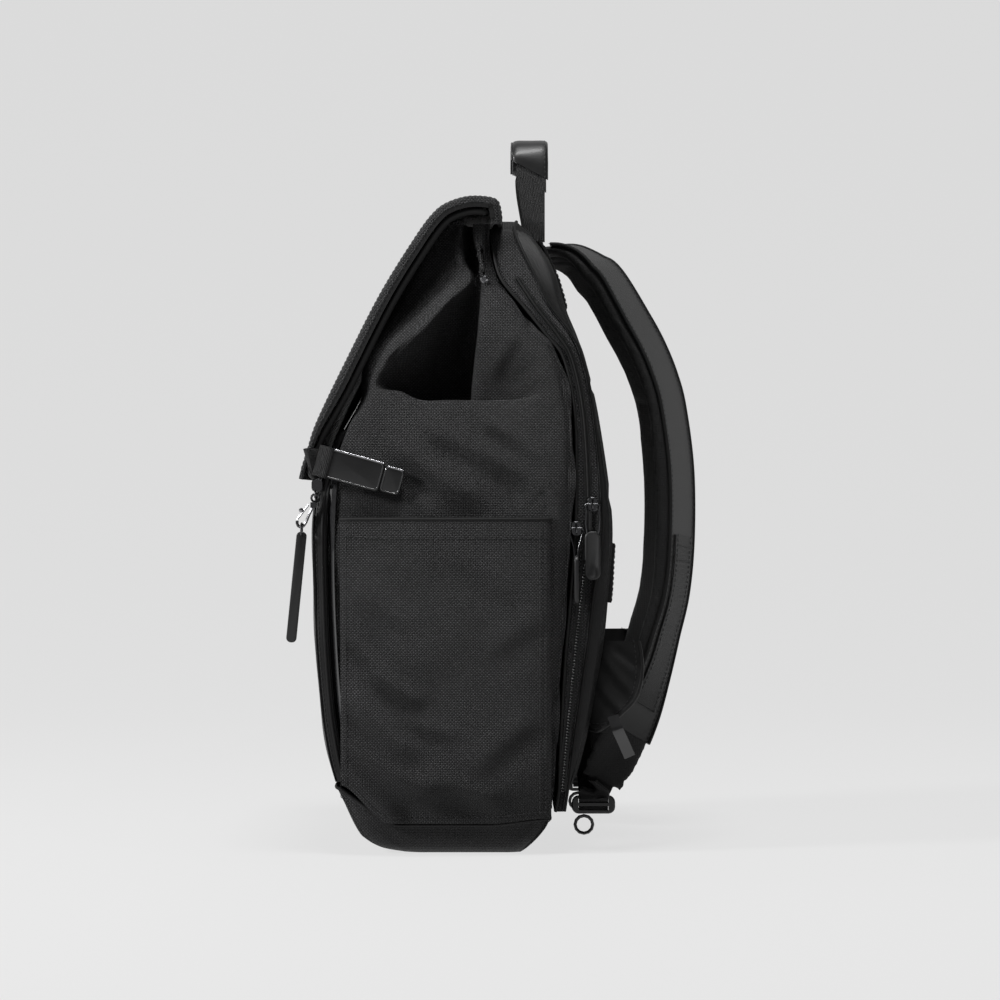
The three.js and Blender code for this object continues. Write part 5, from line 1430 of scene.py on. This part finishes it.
def pullPieces(name, hinge, body, turned):
    low, ear = -0.023, 0.0046
    tight = 0.0016 if turned else ear
    side = 0.003 if turned else 0.0
    fine = fineLine([[0, -ear, 0], [0, 0, 0], [0, ear, 0], [0, ear, -0.003], [side * 0.67, tight, low * 0.6],
                     [side, tight * 0.6, low], [side, -tight * 0.6, low], [side * 0.67, -tight, low * 0.6],
                     [0, -ear, -0.003]], 6, True) + np.array(hinge)
    bail = grown(name + "Bail", [np.concatenate([fine, fine[:2]])], "pipe",
                 {"Radius": 0.0008, "Step": 0.0012, "Look": looks["darkMetal"]}, body)
    rings = plateRings(0.034, 0.011, 0.003, 0.0048, 0.0007, 0.0006, 0.0016)
    rings = rings[..., [0, 2, 1]]
    if turned:
        rings = rings[..., [1, 0, 2]] * np.array([1, -1, 1])
        rings = rings + np.array([0.0033, 0, 0])
    rings = rings + np.array([0, 0, low - 0.017 + 0.004]) + np.array(hinge)
    grip = loft(name + "Puller", rings, looks["rubber"], 0.8)
    place(grip, "rubber", "pull_" + name, body=body)


joints = {joint["name"]: joint for joint in frame["record"]["behaviour"]["joints"]}
pullPieces("rear", joints["rear_pull_swing"]["pos_m"], "rear_pull", False)
pullPieces("low", joints["low_pull_swing"]["pos_m"], "low_pull", True)

# ---- key fob: a leather tab with a rounded end

fobLow, fobHigh = [np.array(corner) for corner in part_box("key_fob")]
fobRings = plateRings(0.078, 0.0072, 0.002, 0.0032, 0.0005)[..., [0, 2, 1]]
fobRings = fobRings + np.array([0, 0, -0.039])
lean = math.radians(-5.7)
turned = fobRings.copy()
turned[..., 1] = fobRings[..., 1] * math.cos(lean) - fobRings[..., 2] * math.sin(lean)
turned[..., 2] = fobRings[..., 1] * math.sin(lean) + fobRings[..., 2] * math.cos(lean)
middle = (turned.reshape(-1, 3).max(0) + turned.reshape(-1, 3).min(0)) / 2
fobRings = turned - middle + (fobLow + fobHigh) / 2
fob = loft("keyFob", fobRings, looks["coatedLeather"], 1.1)
place(fob, "leather", "key_fob")
print("small parts made")

# ---- the hard CAD parts keep their shape and get their materials

nodeLooks = {
    "mouldedPlastic": ["ladder_lock_right", "ladder_lock_left", "strap_ring_right", "strap_ring_left",
                       "clasp_stand_right", "clasp_stand_left"],
    "brightMetal": ["gusset_snap_right", "gusset_snap_left", "hook_gate"],
    "darkMetal": ["slider_rear", "slider_low", "key_holder", "hook_body", "key_ring"],
}
for look, nodes in nodeLooks.items():
    for node in nodes:
        for held in frame["nodes"][node].material_slots:
            held.link = "OBJECT"
            held.material = looks[look]

# ---- floor, light and camera

stageForm = {"near": 14.0, "far": -1.2, "side": 14.0, "rise": 7.0, "bend": 2.6}
profile = [(stageForm["near"], 0.0)]
for a in np.linspace(0, math.pi / 2, 17):
    profile.append((stageForm["far"] - stageForm["bend"] * math.sin(a), stageForm["bend"] * (1 - math.cos(a))))
profile.append((stageForm["far"] - stageForm["bend"], stageForm["rise"]))
points = [(x, side, z) for x, z in profile for side in (-stageForm["side"], stageForm["side"])]
faces = [(2 * i, 2 * i + 2, 2 * i + 3, 2 * i + 1) for i in range(len(profile) - 1)]
sweepMesh = bpy.data.meshes.new("sweep")
sweepMesh.from_pydata(points, [], faces)
sweepMesh.polygons.foreach_set("use_smooth", [True] * len(faces))
sweep = bpy.data.objects.new("sweep", sweepMesh)
bpy.context.scene.collection.objects.link(sweep)
paper, _, paperShader = newMaterial("paper")
for key, value in {"Base Color": (0.09, 0.09, 0.09, 1), "Emission Color": (1, 1, 1, 1),
                   "Emission Strength": 0.68, "Roughness": 0.9, "Specular IOR Level": 0.1}.items():
    paperShader.inputs[key].default_value = value
sweepMesh.materials.append(paper)
sweep.visible_diffuse = False

lights = table(["name", "place", "aim", "size", "power"], [
    ["key", (1.0, -2.2, 1.4), (0.0, 0.0, 0.25), 0.45, 64.0],
    ["top", (0.6, 0.1, 2.2), (0.0, 0.0, 0.2), 0.6, 34.0],
    ["fill", (2.6, -0.6, 0.9), (0.0, 0.0, 0.2), 1.4, 0.8],
])
for row in lights:
    lamp = bpy.data.lights.new(row["name"], "AREA")
    lamp.shape = "SQUARE"
    lamp.size = row["size"]
    lamp.energy = row["power"]
    holder = bpy.data.objects.new(row["name"], lamp)
    holder.location = row["place"]
    way = Vector(row["aim"]) - Vector(row["place"])
    holder.rotation_euler = way.to_track_quat("-Z", "Y").to_euler()
    bpy.context.scene.collection.objects.link(holder)

world = bpy.context.scene.world or bpy.data.worlds.new("world")
bpy.context.scene.world = world
world.use_nodes = True
world.node_tree.nodes["Background"].inputs[0].default_value = (0.9, 0.9, 0.92, 1)
world.node_tree.nodes["Background"].inputs[1].default_value = 0.045

lens = bpy.data.cameras.new("camera")
lens.sensor_width = 36
lens.lens = 36 * 2.5 / 0.743
lens.clip_start = 0.05
lens.clip_end = 20
eye = bpy.data.objects.new("camera", lens)
eye.location = (2.5, 0.0294, 0.25)
eye.rotation_euler = (math.pi / 2, 0, math.pi / 2)
bpy.context.scene.collection.objects.link(eye)
bpy.context.scene.camera = eye
bpy.context.scene.view_settings.view_transform = "Standard"
